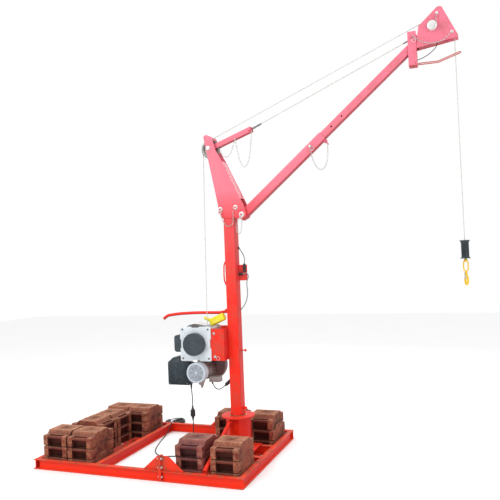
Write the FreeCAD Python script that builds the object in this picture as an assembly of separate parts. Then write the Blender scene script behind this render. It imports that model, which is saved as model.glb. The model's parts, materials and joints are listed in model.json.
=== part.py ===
import FreeCAD
import Part
import math
import os

# Slewing jib crane with a rope winch, on a ballast frame of I-beams. Millimetres, +Z up, +X along the jib.
# The origin is on the floor, on the axis that the mast turns about.
Vec = FreeCAD.Vector
along_x = Vec(1, 0, 0)
along_y = Vec(0, 1, 0)
along_z = Vec(0, 0, 1)

# ---- ballast frame -------------------------------------------------------------------------------------
frame_rear_end = 1648.0      # mast axis to the far side beam's outer edge
frame_boom_end = 293.0       # mast axis to the outer edge of the side beam under the jib
frame_half_width = 677.0
beam_height = 80.0
beam_width = 46.0
beam_web = 3.8
beam_flange = 5.2
cross_beam_x = -1026.0
foot_beam_y = 153.0
spine_beam_x = -34.0
splice_x = -415.0
splice_plate = 12.0
splice_plate_height = 200.0
gusset_thickness = 6.0
gusset_short = 140.0
gusset_long = 190.0
gusset_flat = 60.0
bolt_m = 10.0
splice_bolt_levels = (35.0, 108.0, 178.0)
splice_bolt_side = 13.2
rail_x = -1190.0
rail_size = 45.0
rail_wall = 5.0
rail_from = -262.0
rail_to = 215.0

strip_width = 40.0

# ---- cast weights ---------------------------------------------------------------------------------------
weight_length = 338.0
weight_width = 236.0
weight_pitch = 92.0
weight_gap = 0.6
weight_end_gap = 8.0
weight_pad = 22.0
weight_pad_length = 176.0
weight_slope = 22.0
weight_post = 45.0
pocket_depth = 46.0
handle_bar = 24.0
layers = 3
tray_level = 5.6

# ---- foot and mast --------------------------------------------------------------------------------------
foot_plate = 10.0
sole_plate = 8.0
foot_plate_half = 150.0
socket_flats = 200.0
socket_wall = 8.0
socket_top = 370.0
foot_disc_radius = 145.0
foot_disc = 12.0
spindle_radius = 38.0
running_clearance = 0.05
bush_radius = 54.0
bush_flange_radius = 74.0
bush_flange = 4.0
thrust_gap = 0.3
collar_radius = 66.0
collar_height = 12.0
mast_size = 100.0
mast_wall = 5.0
mast_top = 2230.0
brace_radius = 17.0
knob_z = 941.0

# ---- mast head and jib ----------------------------------------------------------------------------------
head_plate = 6.0
pivot_x = 130.0
pivot_z = 2120.0
pivot_radius = 12.0
axle_x = -164.0
axle_z = 2727.0
axle_radius = 10.0
boom_angle = 39.8
outer_size = 70.0
inner_size = 60.0
tube_wall = 4.0
outer_tail = 35.0
outer_length = 952.0
inner_start = 430.0
inner_end = 2030.0
lock_pin_at = 820.0
lock_pin_radius = 7.0
rope_diameter = 6.0
sheave_pitch = 76.0
sheave_rim = 86.0
sheave_width = 24.0
rope_seat_gap = 0.5
main_sheave_x = 1769.0
main_sheave_z = 3477.0
tip_roller_x = 1911.0
tip_roller_z = 3410.0
tip_roller_pitch = 17.0
link_end_x = 217.0
link_end_z = 2856.0
link_depth = 44.0
link_width = 50.0
stay_x = 1612.0
stay_z = 3418.0
limit_left = 1579.0
limit_right = 1644.0
limit_bottom = 3194.0
limit_top = 3463.0
limit_plate = 5.0
fork_radius = 4.0
fork_half = 18.0

# ---- hook -----------------------------------------------------------------------------------------------
hook_x = tip_roller_x + tip_roller_pitch
hook_weight_top = 1805.0
hook_weight_bottom = 1664.0
hook_flange_radius = 39.0
hook_weight_radius = 29.0
hook_flange = 6.0
hook_turn = 20.5
ring_bar = 5.0
ring_half = 17.5
ring_top = 1645.0
ring_low = 1569.0
hook_bar = 8.0
hook_bowl = 27.0
hook_low = 1466.0
latch_z = 1557.0
latch_wall = 1.6

# ---- winch ----------------------------------------------------------------------------------------------
drum_x = axle_x - sheave_pitch - sheave_pitch
drum_z = 1012.0
plate_wide = 294.0
plate_tall = 300.0
front_plate_y = -150.0
front_plate_thick = 12.0
rear_plate_y = 60.0
rear_plate_thick = 12.0
drum_barrel = sheave_pitch - rope_diameter / 2 - rope_seat_gap
drum_flange_radius = 108.0
drum_shaft = 15.0
riser_start_y = -60.0
cap_radius = 98.0
cap_depth = 55.0
motor_x = -300.0
motor_z = 768.0
motor_radius = 76.0
motor_front = -136.0
motor_back = 74.0
fan_cover_radius = 88.0
fan_cover_front = -196.0
gear_case_x = -272.0
gear_case_z = 798.0
gear_case_radius = 134.0
gear_case_y = 75.0
gear_case_thick = 60.0
bracket_wall = 6.0
bracket_low = 868.0
bracket_high = 1143.0
bracket_reach = 180.0
bracket_pin_places = ((-142.0, 1102.0), (-136.0, 902.0))
handle_radius = 13.5
handle_y = 28.0
handle_hub_x = -76.0
handle_hub_z = 1284.0
pendant_length = 150.0
pendant_depth = 68.0
pendant_thick = 54.0
pendant_tilt = 23.0
pendant_x = -155.0
pendant_y = -20.0
pendant_z = 1212.0
button_gap = 0.4
connector_radius = 21.0

# ---- leads ----------------------------------------------------------------------------------------------
supply_lead = 9.0
signal_lead = 8.0
supply_coil_turns_radius = 52.0
coil_x = -1090.0
coil_y = 960.0


# ---- shape helpers --------------------------------------------------------------------------------------
def block(x0, x1, y0, y1, z0, z1):
    return Part.makeBox(x1 - x0, y1 - y0, z1 - z0, Vec(x0, y0, z0))


def rod(start, end, radius):
    a = Vec(*start)
    b = Vec(*end)
    return Part.makeCylinder(radius, (b - a).Length, a, b - a)


def ring(start, end, outer, inner):
    return rod(start, end, outer).cut(rod(start, end, inner))


def prism(points, push):
    corners = [Vec(*p) for p in points]
    return Part.Face(Part.makePolygon(corners + corners[:1])).extrude(push)


def side_prism(points, y0, y1):
    """Outline in X and Z, from y0 to y1."""
    return prism([(x, y0, z) for x, z in points], Vec(0, y1 - y0, 0))


def plan_prism(points, z0, z1):
    """Outline in X and Y, from z0 to z1."""
    return prism([(x, y, z0) for x, y in points], Vec(0, 0, z1 - z0))


def fuse(shapes):
    return shapes[0].multiFuse(shapes[1:]).removeSplitter()


def group(shapes):
    """Separate solids kept in one node."""
    solids = []
    for shape in shapes:
        solids.extend(shape.Solids)
    return Part.Compound(solids)


def turned(shape, centre, axis, degrees):
    copy = shape.copy()
    copy.rotate(Vec(*centre), axis, degrees)
    return copy


def moved(shape, x=0.0, y=0.0, z=0.0):
    copy = shape.copy()
    copy.translate(Vec(x, y, z))
    return copy


def path_wire(points, radii):
    """Straight runs joined by tangent arcs. radii gives a corner's own radius; the others are as large
    as their runs allow."""
    pts = [Vec(*p) for p in points]
    edges = []
    start = pts[0]
    found = []
    for i in range(1, len(pts) - 1):
        back = (pts[i - 1] - pts[i]).normalize()
        ahead = (pts[i + 1] - pts[i]).normalize()
        half_turn = (math.pi - back.getAngle(ahead)) / 2
        run = min((pts[i] - pts[i - 1]).Length, (pts[i + 1] - pts[i]).Length)
        radius = radii.get(i, 0.45 * run / math.tan(half_turn))
        cut = radius * math.tan(half_turn)
        found.append(round(radius, 1))
        first = pts[i] + back * cut
        last = pts[i] + ahead * cut
        middle = (back + ahead).normalize()
        inner = pts[i] + middle * (radius / math.cos(half_turn) - radius)
        edges.append(Part.LineSegment(start, first).toShape())
        edges.append(Part.Arc(first, inner, last).toShape())
        start = last
    edges.append(Part.LineSegment(start, pts[-1]).toShape())
    return Part.Wire(edges), found


def bent_rod(name, points, diameter, radii=None):
    """A round bar, rope or lead along its path. The volume is compared with section times length."""
    wire, found = path_wire(points, radii or {})
    first = wire.Edges[0]
    heading = first.tangentAt(first.FirstParameter)
    section = Part.Wire([Part.makeCircle(diameter / 2, Vec(*points[0]), heading)])
    solid = wire.makePipeShell([section], True, False)
    expected = math.pi * diameter ** 2 / 4 * wire.Length
    print(name, "radii", found, "length", round(wire.Length, 1), "volume ratio", round(solid.Volume / expected, 4))
    return solid


def beam_section(centre, base, across):
    """Corners of an I-section, standing at base, with its width along across."""
    half = beam_width / 2
    web = beam_web / 2
    top = beam_height
    inner_top = beam_height - beam_flange
    outline = [(-half, 0), (half, 0), (half, beam_flange), (web, beam_flange), (web, inner_top), (half, inner_top),
               (half, top), (-half, top), (-half, inner_top), (-web, inner_top), (-web, beam_flange),
               (-half, beam_flange)]
    return [centre + across * u + along_z * (base + v) for u, v in outline]


def beam_along_x(x0, x1, y):
    return prism([tuple(p) for p in beam_section(Vec(x0, y, 0), 0, along_y)], Vec(x1 - x0, 0, 0))


def beam_along_y(y0, y1, x):
    return prism([tuple(p) for p in beam_section(Vec(x, y0, 0), 0, along_x)], Vec(0, y1 - y0, 0))


def hexagon(x, y, z, axis, width, height):
    """A hexagon head or nut, its width across flats, standing on the point along axis."""
    radius = width / math.sqrt(3)
    corners = []
    side = Vec(0, 0, 1) if abs(axis.z) < 0.5 else Vec(1, 0, 0)
    other = axis.cross(side)
    for i in range(6):
        a = math.radians(60 * i)
        corners.append(tuple(Vec(x, y, z) + side * (radius * math.cos(a)) + other * (radius * math.sin(a))))
    return prism(corners, axis * height)


def bolt(x, y, z, axis, grip, size):
    """Bolt head, washers, shank and nut as one fastened piece, its grip starting at the point."""
    head = hexagon(*(Vec(x, y, z) - axis * (0.2 * size)), axis * -1, 1.6 * size, 0.6 * size)
    end = Vec(x, y, z) + axis * grip
    nut = hexagon(*(end + axis * (0.2 * size)), axis, 1.6 * size, 0.8 * size)
    washers = [Part.makeCylinder(size, 0.2 * size, Vec(x, y, z) - axis * (0.2 * size), axis),
               Part.makeCylinder(size, 0.2 * size, end, axis)]
    shank = Part.makeCylinder(size / 2, grip + 1.4 * size, Vec(x, y, z) - axis * (0.2 * size), axis)
    return fuse([head, nut, shank] + washers)


def square_tube(x0, x1, size, wall):
    """A tube along X, centred on the axis."""
    half = size / 2
    inner = half - wall
    return block(x0, x1, -half, half, -half, half).cut(block(x0 - 1, x1 + 1, -inner, inner, -inner, inner))


def on_boom(shape):
    """Takes a shape drawn along X from the pivot and lays it along the jib."""
    laid = turned(shape, (0, 0, 0), along_y, -boom_angle)
    return moved(laid, x=pivot_x, z=pivot_z)


def tangent_corner(centre, radius, arriving, leaving):
    """Corner of the two tangents of a rope that goes clockwise round a circle, in X and Z."""
    n1 = (-arriving[1], arriving[0])
    n2 = (-leaving[1], leaving[0])
    share = radius / (1 + n1[0] * n2[0] + n1[1] * n2[1])
    return centre[0] + (n1[0] + n2[0]) * share, centre[1] + (n1[1] + n2[1]) * share


def direction(degrees):
    return math.cos(math.radians(degrees)), math.sin(math.radians(degrees))


parts = {}


# ---- ballast frame ----------------------------------------------------------------------------------------
def make_frame():
    far_x = -frame_rear_end + beam_width / 2
    near_x = frame_boom_end - beam_width / 2
    side_y = frame_half_width - beam_width / 2
    inner_y = frame_half_width - beam_width
    long_start = -frame_rear_end + beam_width
    long_beams = []
    for y in (-side_y, side_y):
        long_beams.append(beam_along_x(long_start, splice_x - splice_plate, y))
        long_beams.append(beam_along_x(splice_x + splice_plate, frame_boom_end, y))
    parts["long_beams"] = group(long_beams)
    parts["side_beams"] = group([beam_along_y(-frame_half_width, frame_half_width, far_x),
                                 beam_along_y(-inner_y, inner_y, cross_beam_x),
                                 beam_along_y(-inner_y, inner_y, near_x)])
    foot_edge = foot_beam_y + beam_width / 2
    foot_end = frame_boom_end - beam_width
    sole_half = foot_beam_y - beam_width / 2
    parts["foot_beams"] = group([beam_along_x(-foot_plate_half, foot_end, -foot_beam_y),
                                 beam_along_x(-foot_plate_half, foot_end, foot_beam_y),
                                 beam_along_y(-inner_y, -foot_edge, spine_beam_x),
                                 beam_along_y(foot_edge, inner_y, spine_beam_x),
                                 block(-foot_plate_half, foot_plate_half, -sole_half, sole_half, 0, sole_plate)])
    plates = []
    bolts = []
    gusset_top = splice_plate_height - 4
    for y in (-side_y, side_y):
        for side, reach, flat in ((-1, gusset_short, gusset_short * 0.1), (1, gusset_long, gusset_flat)):
            face = splice_x + side * splice_plate
            plate = block(min(splice_x, face), max(splice_x, face), y - beam_width / 2, y + beam_width / 2,
                          0, splice_plate_height)
            outline = [(face, beam_height), (face + side * reach, beam_height),
                       (face + side * reach, beam_height + 8), (face + side * flat, gusset_top), (face, gusset_top)]
            gusset = side_prism(outline, y - gusset_thickness / 2, y + gusset_thickness / 2)
            for level in splice_bolt_levels:
                for out in (-splice_bolt_side, splice_bolt_side):
                    hole = rod((splice_x - 40, y + out, level), (splice_x + 40, y + out, level), bolt_m / 2 + 0.3)
                    plate = plate.cut(hole)
            plates.append(fuse([plate, gusset]))
        for level in splice_bolt_levels:
            for out in (-splice_bolt_side, splice_bolt_side):
                bolts.append(bolt(splice_x - splice_plate, y + out, level, along_x, 2 * splice_plate, bolt_m))
    parts["splice_plates"] = group(plates)
    parts["splice_bolts"] = group(bolts)


def angle_bar_y(y0, y1, x):
    upright = block(x, x + rail_wall, y0, y1, 0, rail_size)
    return fuse([upright, block(x - rail_size + rail_wall, x + rail_wall, y0, y1, 0, rail_wall)])


def make_tray_rails():
    cross_edge = cross_beam_x - beam_width / 2
    rails = [angle_bar_y(rail_from, rail_to, rail_x)]
    for y in (rail_from, rail_to - rail_wall):
        rails.append(block(rail_x + rail_wall, cross_edge, y, y + rail_wall, 0, rail_size))
    # flat strips that the stacks stand on, from flange to flange
    outer_edge = -frame_rear_end + beam_width
    near_edge = frame_boom_end - beam_width
    spine_half = beam_width / 2
    strips = []
    for y in (-560, -345, 345, 520):
        strips.append((outer_edge, cross_edge, y))
    for y in (-190, -60, 70, 180):
        strips.append((outer_edge, rail_x + rail_wall - rail_size, y))
    for y in (-560, -345, 330, 530):
        strips.append((spine_beam_x - spine_half - 295, spine_beam_x - spine_half, y))
        strips.append((spine_beam_x + spine_half, near_edge, y))
    for start, end, y in strips:
        rails.append(block(start, end, y - strip_width / 2, y + strip_width / 2, 0, rail_wall))
    parts["tray_rails"] = group(rails)


def cast_weight(x, y, z, sideways=False):
    """One block by its middle and its underside: a raised pad that locks into the block above, and at each
    end a pocket with a round bar to lift it by."""
    half = weight_length / 2
    half_width = weight_width / 2
    top = weight_pitch - weight_gap
    end_top = top - weight_end_gap
    pad = weight_pad_length / 2
    foot = pad + weight_slope
    outline = [(-half, 0), (-foot, 0), (-pad, weight_pad), (pad, weight_pad), (foot, 0), (half, 0),
               (half, end_top), (foot, end_top), (pad, top + weight_pad), (-pad, top + weight_pad), (-foot, end_top),
               (-half, end_top)]
    body = prism([(-half_width, u, v) for u, v in outline], Vec(weight_width, 0, 0))
    pocket_half = half_width - weight_post
    bars = []
    for side in (-1, 1):
        end = side * half
        inner = side * (half - pocket_depth)
        low = min(end, inner)
        body = body.cut(block(-pocket_half, pocket_half, low, low + pocket_depth, -1, top + 1))
        bar_y = end - side * (handle_bar / 2 + 1)
        bar_z = end_top - handle_bar / 2 - 3
        bars.append(rod((-pocket_half - 6, bar_y, bar_z), (pocket_half + 6, bar_y, bar_z), handle_bar / 2))
    body = body.cut(rod((0, 0, top + weight_pad - 10), (0, 0, top + weight_pad + 5), 12))
    body = fuse([body] + bars)
    if sideways:
        body = turned(body, (0, 0, 0), along_z, 90)
    return moved(body, x, y, z)


def stack(x, y, sideways=False, shifts=(0.0, 0.0, 0.0)):
    """Three blocks, each put down a little to one side, across the way that their pads lock."""
    blocks = []
    for i in range(layers):
        level = tray_level + i * weight_pitch
        if sideways:
            blocks.append(cast_weight(x, y + shifts[i], level, True))
        else:
            blocks.append(cast_weight(x + shifts[i], y, level))
    return blocks


def make_weights():
    front_y = -frame_half_width + beam_width + 19 + weight_length / 2
    rear_y = frame_half_width - beam_width - 36 - weight_length / 2
    outer_x = -frame_rear_end + beam_width + 14 + weight_width / 2
    next_x = outer_x + weight_width + 15
    light_x = frame_boom_end - beam_width - 11 - weight_width / 2
    dark_x = spine_beam_x - beam_width / 2 - 10 - weight_width / 2
    parts["weights_left_front"] = group(stack(outer_x, front_y, shifts=(0, 2, -2))
                                        + stack(next_x, front_y - 3, shifts=(1, -1, 2)))
    middle_x = -frame_rear_end + beam_width + 12 + weight_length / 2
    first_middle_y = rail_from + 39 + weight_width / 2
    second_middle_y = first_middle_y + weight_width + 5
    parts["weights_left_middle"] = group(stack(middle_x, first_middle_y, True, shifts=(0, 3, 0))
                                         + stack(middle_x + 6, second_middle_y, True, shifts=(0, -1, 2)))
    parts["weights_left_rear"] = group(stack(outer_x + 24, rear_y, shifts=(0, 3, 0))
                                       + stack(next_x + 12, rear_y, shifts=(0, 3, 6)))
    parts["weights_right_front"] = group(stack(dark_x, front_y, shifts=(-2, 2, -3))
                                         + stack(light_x, front_y, shifts=(0, -1, 1)))
    parts["weights_right_rear"] = group(stack(dark_x - 40, rear_y, shifts=(0, 2, -3))
                                        + stack(light_x - 6, rear_y - 4, shifts=(0, 2, -9)))


# ---- foot ---------------------------------------------------------------------------------------------------
def octagon(flats):
    radius = flats / 2 / math.cos(math.pi / 8)
    return [(radius * math.cos(math.pi / 8 + i * math.pi / 4), radius * math.sin(math.pi / 8 + i * math.pi / 4))
            for i in range(8)]


def make_foot():
    plate_top = beam_height + foot_plate
    side = foot_beam_y + beam_width / 2
    plate = block(-foot_plate_half, foot_plate_half, -side, side, beam_height, plate_top)
    shell = plan_prism(octagon(socket_flats), plate_top, socket_top)
    shell = shell.cut(plan_prism(octagon(socket_flats - 2 * socket_wall), plate_top, socket_top))
    disc = rod((0, 0, socket_top), (0, 0, socket_top + foot_disc), foot_disc_radius)
    foot = fuse([plate, shell, disc]).cut(rod((0, 0, plate_top), (0, 0, socket_top + foot_disc + 1), bush_radius))
    parts["foot_socket"] = foot
    bush_top = socket_top + foot_disc
    sleeve = rod((0, 0, plate_top), (0, 0, bush_top), bush_radius)
    flange = rod((0, 0, bush_top), (0, 0, bush_top + bush_flange), bush_flange_radius)
    bore = rod((0, 0, plate_top - 1), (0, 0, bush_top + bush_flange + 1), spindle_radius + running_clearance)
    parts["foot_bush"] = fuse([sleeve, flange]).cut(bore)
    braces = []
    for side in (-1, 1):
        low = (spine_beam_x, side * (frame_half_width - beam_width / 2), beam_height + brace_radius + 3)
        high = (spine_beam_x, side * (socket_flats / 2 + 22), socket_top - brace_radius - 16)
        tube = ring(low, high, brace_radius, brace_radius - 3)
        shoe = block(spine_beam_x - 22, spine_beam_x + 22, min(side * 631, side * 677), max(side * 631, side * 677),
                     beam_height, beam_height + 6)
        cheek_y = side * (socket_flats / 2)
        lug = block(spine_beam_x - 6, spine_beam_x + 6, min(cheek_y, cheek_y + side * 40),
                    max(cheek_y, cheek_y + side * 40), socket_top - 50, socket_top)
        eye = bolt(spine_beam_x - brace_radius - 2, side * (socket_flats / 2 + 24), socket_top - 22, along_x,
                   2 * brace_radius + 4, 10.0)
        braces.append(fuse([tube, shoe, lug, eye]))
    parts["foot_braces"] = group(braces)


# ---- mast -----------------------------------------------------------------------------------------------------
def make_mast():
    collar_low = socket_top + foot_disc + bush_flange + thrust_gap
    mast_low = collar_low + collar_height
    spindle = rod((0, 0, beam_height + foot_plate + 10), (0, 0, collar_low), spindle_radius)
    collar = rod((0, 0, collar_low), (0, 0, mast_low), collar_radius)
    parts["mast_spindle"] = fuse([spindle, collar])
    half = mast_size / 2
    inner = half - mast_wall
    tube = block(-half, half, -half, half, mast_low, mast_top)
    edges = [e for e in tube.Edges if abs(e.tangentAt(e.FirstParameter).z) > 0.9]
    tube = tube.makeFillet(8, edges)
    parts["mast_tube"] = tube.cut(block(-inner, inner, -inner, inner, mast_low - 1, mast_top + 1))
    # lugs welded on the mast: handle lug, lead bracket, hand strip and slew stop
    ear_low = handle_hub_z - 20
    ears = []
    for y in (handle_y - 17, handle_y + 11.3):
        ear = fuse([block(handle_hub_x, -half, y, y + 6, ear_low, ear_low + 40),
                    rod((handle_hub_x, y, handle_hub_z), (handle_hub_x, y + 6, handle_hub_z), 20)])
        ears.append(ear.cut(rod((handle_hub_x, y - 1, handle_hub_z), (handle_hub_x, y + 7, handle_hub_z), 8.05)))
    ear_pin = bolt(handle_hub_x, handle_y - 17, handle_hub_z, along_y, 34.3, 16.0)
    lead_bracket = fuse([block(half, half + 5, -36, 36, 1548, 1686), block(half + 5, half + 78, 20, 25, 1548, 1686)])
    strip = bent_rod("hand_strip", [(-half - 5.2, -20, 1722), (-half - 22, -20, 1690), (-half - 26, -20, 1600),
                                    (-half - 22, -20, 1545), (-half - 5.2, -20, 1512)], 12.0)
    stop = block(half, half + 34, -8, 8, 432, 452)
    knob = fuse([rod((half, 0, knob_z), (half + 34, 0, knob_z), 5), rod((half + 34, 0, knob_z), (half + 48, 0, knob_z), 11)])
    parts["mast_lugs"] = group(ears + [ear_pin, lead_bracket, strip, stop, knob])


def make_head():
    half = mast_size / 2
    outline = [(-half - 2, 2096), (-90, 2152), (-90, 2206), (-208, 2830), (-200, 2842), (-180, 2848), (-134, 2826),
               (-126, 2812), (-98, 2706), (-40, 2600), (152, 2190), (170, 2130), (163, 2100), (140, 2084),
               (110, 2084), (half + 6, 2096)]
    cheeks = []
    for y in (-half - head_plate, half):
        plate = side_prism(outline, y, y + head_plate)
        for x, z, r in ((axle_x, axle_z, axle_radius), (pivot_x, pivot_z, pivot_radius), (-68, 2178, 10),
                        (74, 2186, 10)):
            plate = plate.cut(rod((x, y - 1, z), (x, y + head_plate + 1, z), r))
        cheeks.append(plate)
    flange = side_prism([(-40, 2600), (118, 2262), (112.6, 2259.5), (-45.4, 2597.5)], -half, half)
    shelf = side_prism([(-half - 6, mast_top), (half + 6, mast_top), (half + 6, mast_top + 6),
                        (-half - 6, mast_top + 6)], -half, half)
    parts["mast_head"] = fuse(cheeks + [flange, shelf])
    pins = []
    grip = mast_size + 2 * head_plate
    for x, z, size in ((-68, 2178, 20.0), (74, 2186, 20.0), (pivot_x, pivot_z, 2 * pivot_radius),
                       (axle_x, axle_z, 2 * axle_radius)):
        pins.append(bolt(x, -half - head_plate, z, along_y, grip, size))
    parts["head_pins"] = group(pins)
    link_far = math.hypot(link_end_x - axle_x, link_end_z - axle_z)
    link_angle = math.degrees(math.atan2(link_end_z - axle_z, link_end_x - axle_x))
    depth = link_depth / 2
    width = link_width / 2
    rim = sheave_rim + 14
    box = block(rim, link_far + 18, -width, width, -depth, depth)
    box = box.cut(block(rim - 1, link_far + 30, -width + 4, width - 4, -depth + 4, depth - 4))
    arms = []
    for y in (-width, width - 4):
        arm = fuse([block(0, rim + 20, y, y + 4, -depth, depth), rod((0, y, 0), (0, y + 4, 0), depth)])
        arms.append(arm)
    bore = rod((0, -width - 1, 0), (0, width + 1, 0), axle_radius + running_clearance)
    link = fuse([box] + arms).cut(bore)
    end_pin = bolt(link_far, -width, 0, along_y, link_width, 14.0)
    link_parts = group([link.cut(rod((link_far, -width - 1, 0), (link_far, width + 1, 0), 7.0)), end_pin])
    parts["link_arm"] = moved(turned(link_parts, (0, 0, 0), along_y, -link_angle), x=axle_x, z=axle_z)


def sheave(x, z, bore):
    """A grooved wheel on a Y axle."""
    seat = sheave_pitch - rope_diameter / 2 - rope_seat_gap
    half = sheave_width / 2
    rim = [(bore, -half), (sheave_rim - 3, -half), (sheave_rim, -half + 3), (seat, -rope_diameter / 2),
           (seat, rope_diameter / 2), (sheave_rim, half - 3), (sheave_rim - 3, half), (bore, half)]
    corners = [Vec(r, y, 0) for r, y in rim]
    wheel = Part.Face(Part.makePolygon(corners + corners[:1])).revolve(Vec(0, 0, 0), along_y, 360)
    for side in (-1, 1):
        outer = half * side
        inner = 5 * side
        low = min(outer, inner)
        wheel = wheel.cut(ring((0, low, 0), (0, low + half - 5, 0), seat - 12, bore + 12))
    return moved(wheel, x=x, z=z)


def make_sheaves():
    parts["mast_sheave"] = sheave(axle_x, axle_z, axle_radius + running_clearance)
    parts["boom_sheave"] = sheave(main_sheave_x, main_sheave_z, axle_radius + running_clearance)


# ---- jib --------------------------------------------------------------------------------------------------------
def make_boom():
    half = outer_size / 2
    tube = square_tube(-outer_tail, outer_length, outer_size, tube_wall)
    heel = rod((0, -half, 0), (0, half, 0), 20)
    stop = block(outer_length - 30, outer_length, -12, 12, -half - 20, -half)
    screw = fuse([rod((outer_length - 15, 0, -half - 20), (outer_length - 15, 0, -half - 44), 6),
                  rod((outer_length - 15, -16, -half - 44), (outer_length - 15, 16, -half - 44), 4)])
    tube = fuse([tube, heel, stop, screw]).cut(rod((0, -half - 1, 0), (0, half + 1, 0),
                                                   pivot_radius + running_clearance))
    pin_bore = lock_pin_radius + 0.4
    boss = rod((lock_pin_at, -half - 8, 0), (lock_pin_at, -half, 0), 14)
    tube = fuse([tube, boss]).cut(rod((lock_pin_at, -half - 9, 0), (lock_pin_at, -half + tube_wall + 1, 0), pin_bore))
    parts["boom_tube"] = on_boom(tube)
    tip = -half + 0.6
    pin = rod((lock_pin_at, tip, 0), (lock_pin_at, -half - 24, 0), lock_pin_radius)
    head = rod((lock_pin_at, -half - 24, 0), (lock_pin_at, -half - 30, 0), 12)
    pull = moved(Part.makeTorus(16, 2.5), 0, 0, 0)
    pull = turned(pull, (0, 0, 0), along_y, 90)
    pull = moved(turned(pull, (0, 0, 0), along_z, 90), lock_pin_at, -half - 27, -26)
    parts["lock_pin"] = on_boom(fuse([pin, head, pull]))
    inner = square_tube(inner_start, inner_end, inner_size, tube_wall)
    for i in range(4):
        at = lock_pin_at + i * 116.7
        inner = inner.cut(rod((at, -inner_size / 2 - 1, 0), (at, -inner_size / 2 + tube_wall + 1, 0), pin_bore))
    parts["inner_tube"] = on_boom(inner)


def make_boom_head():
    half = inner_size / 2
    outline = [(1638, 3324), (1665, 3496), (1804, 3619), (1814, 3624), (1836, 3624), (1846, 3616), (1956, 3376),
               (1954, 3364), (1944, 3362)]
    cheeks = []
    for y in (-half - head_plate, half):
        plate = side_prism(outline, y, y + head_plate)
        for x, z, r in ((main_sheave_x, main_sheave_z, axle_radius), (tip_roller_x, tip_roller_z, 6), (1807, 3575, 6)):
            plate = plate.cut(rod((x, y - 1, z), (x, y + head_plate + 1, z), r))
        cheeks.append(plate)
    slope = (3362 - 3324) / (1944 - 1638)
    low = side_prism([(1662, 3324 + 24 * slope), (1862, 3324 + 224 * slope), (1862, 3330 + 224 * slope),
                      (1662, 3330 + 24 * slope)], -half, half)
    parts["boom_head"] = fuse(cheeks + [low])
    grip = inner_size + 2 * head_plate
    axle = bolt(main_sheave_x, -half - head_plate, main_sheave_z, along_y, grip, 2 * axle_radius)
    cap_face = -half - head_plate - 16.1
    cap = ring((main_sheave_x, cap_face - 10, main_sheave_z), (main_sheave_x, cap_face + 16, main_sheave_z), 37, 30)
    lid = rod((main_sheave_x, cap_face - 14, main_sheave_z), (main_sheave_x, cap_face - 10, main_sheave_z), 37)
    cap = fuse([cap, lid])
    screw = bolt(1807, -half - head_plate, 3575, along_y, grip, 12.0)
    roller = fuse([rod((tip_roller_x, -11, tip_roller_z), (tip_roller_x, 11, tip_roller_z), tip_roller_pitch - 3.5),
                   rod((tip_roller_x, -half, tip_roller_z), (tip_roller_x, half, tip_roller_z), 6),
                   bolt(tip_roller_x, -half - head_plate, tip_roller_z, along_y, grip, 12.0)])
    parts["boom_head_pins"] = group([axle, cap, screw, roller])
    outer = half + head_plate
    upright = []
    for y in (-outer - limit_plate, outer):
        upright.append(block(limit_left, limit_right, y, y + limit_plate, limit_bottom, limit_top))
    wall = block(limit_right - 4, limit_right, -outer, outer, limit_bottom, 3316)
    floor = block(limit_left, limit_right, -outer, outer, limit_bottom, limit_bottom + 4)
    stay_bolt = bolt(stay_x, -outer - limit_plate, stay_z, along_y, 2 * (outer + limit_plate), 14.0)
    switch = block(limit_left + 8, limit_right - 10, -20, 20, limit_bottom + 34, limit_bottom + 92)
    bracket = fuse(upright + [wall, floor]).cut(rod((limit_right - 14, -outer - 9, limit_bottom + 16),
                                                    (limit_right - 14, outer + 9, limit_bottom + 16), 4.4))
    bracket = bracket.cut(rod((stay_x, -60, stay_z), (stay_x, 60, stay_z), 7))
    for y in (-fork_half, fork_half):
        bracket = bracket.cut(block(limit_right - 5, limit_right + 1, y - 7, y + 7, limit_bottom - 1, limit_bottom + 60))
    parts["limit_bracket"] = group([bracket, stay_bolt, switch])
    fork_x = limit_right - 14
    fork_z = limit_bottom + 16
    wire = bent_rod("trip_fork", [(fork_x, -fork_half, fork_z), (1800, -fork_half, fork_z - 5),
                                  (1966, -fork_half, 3254), (1966, fork_half, 3254), (1800, fork_half, fork_z - 5),
                                  (fork_x, fork_half, fork_z)], 2 * fork_radius, {1: 14.0, 2: 12.0, 3: 12.0, 4: 14.0})
    shaft = rod((fork_x, -outer - limit_plate - 3, fork_z), (fork_x, outer + limit_plate + 3, fork_z), 4.35)
    parts["trip_fork"] = fuse([wire, shaft])


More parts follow.
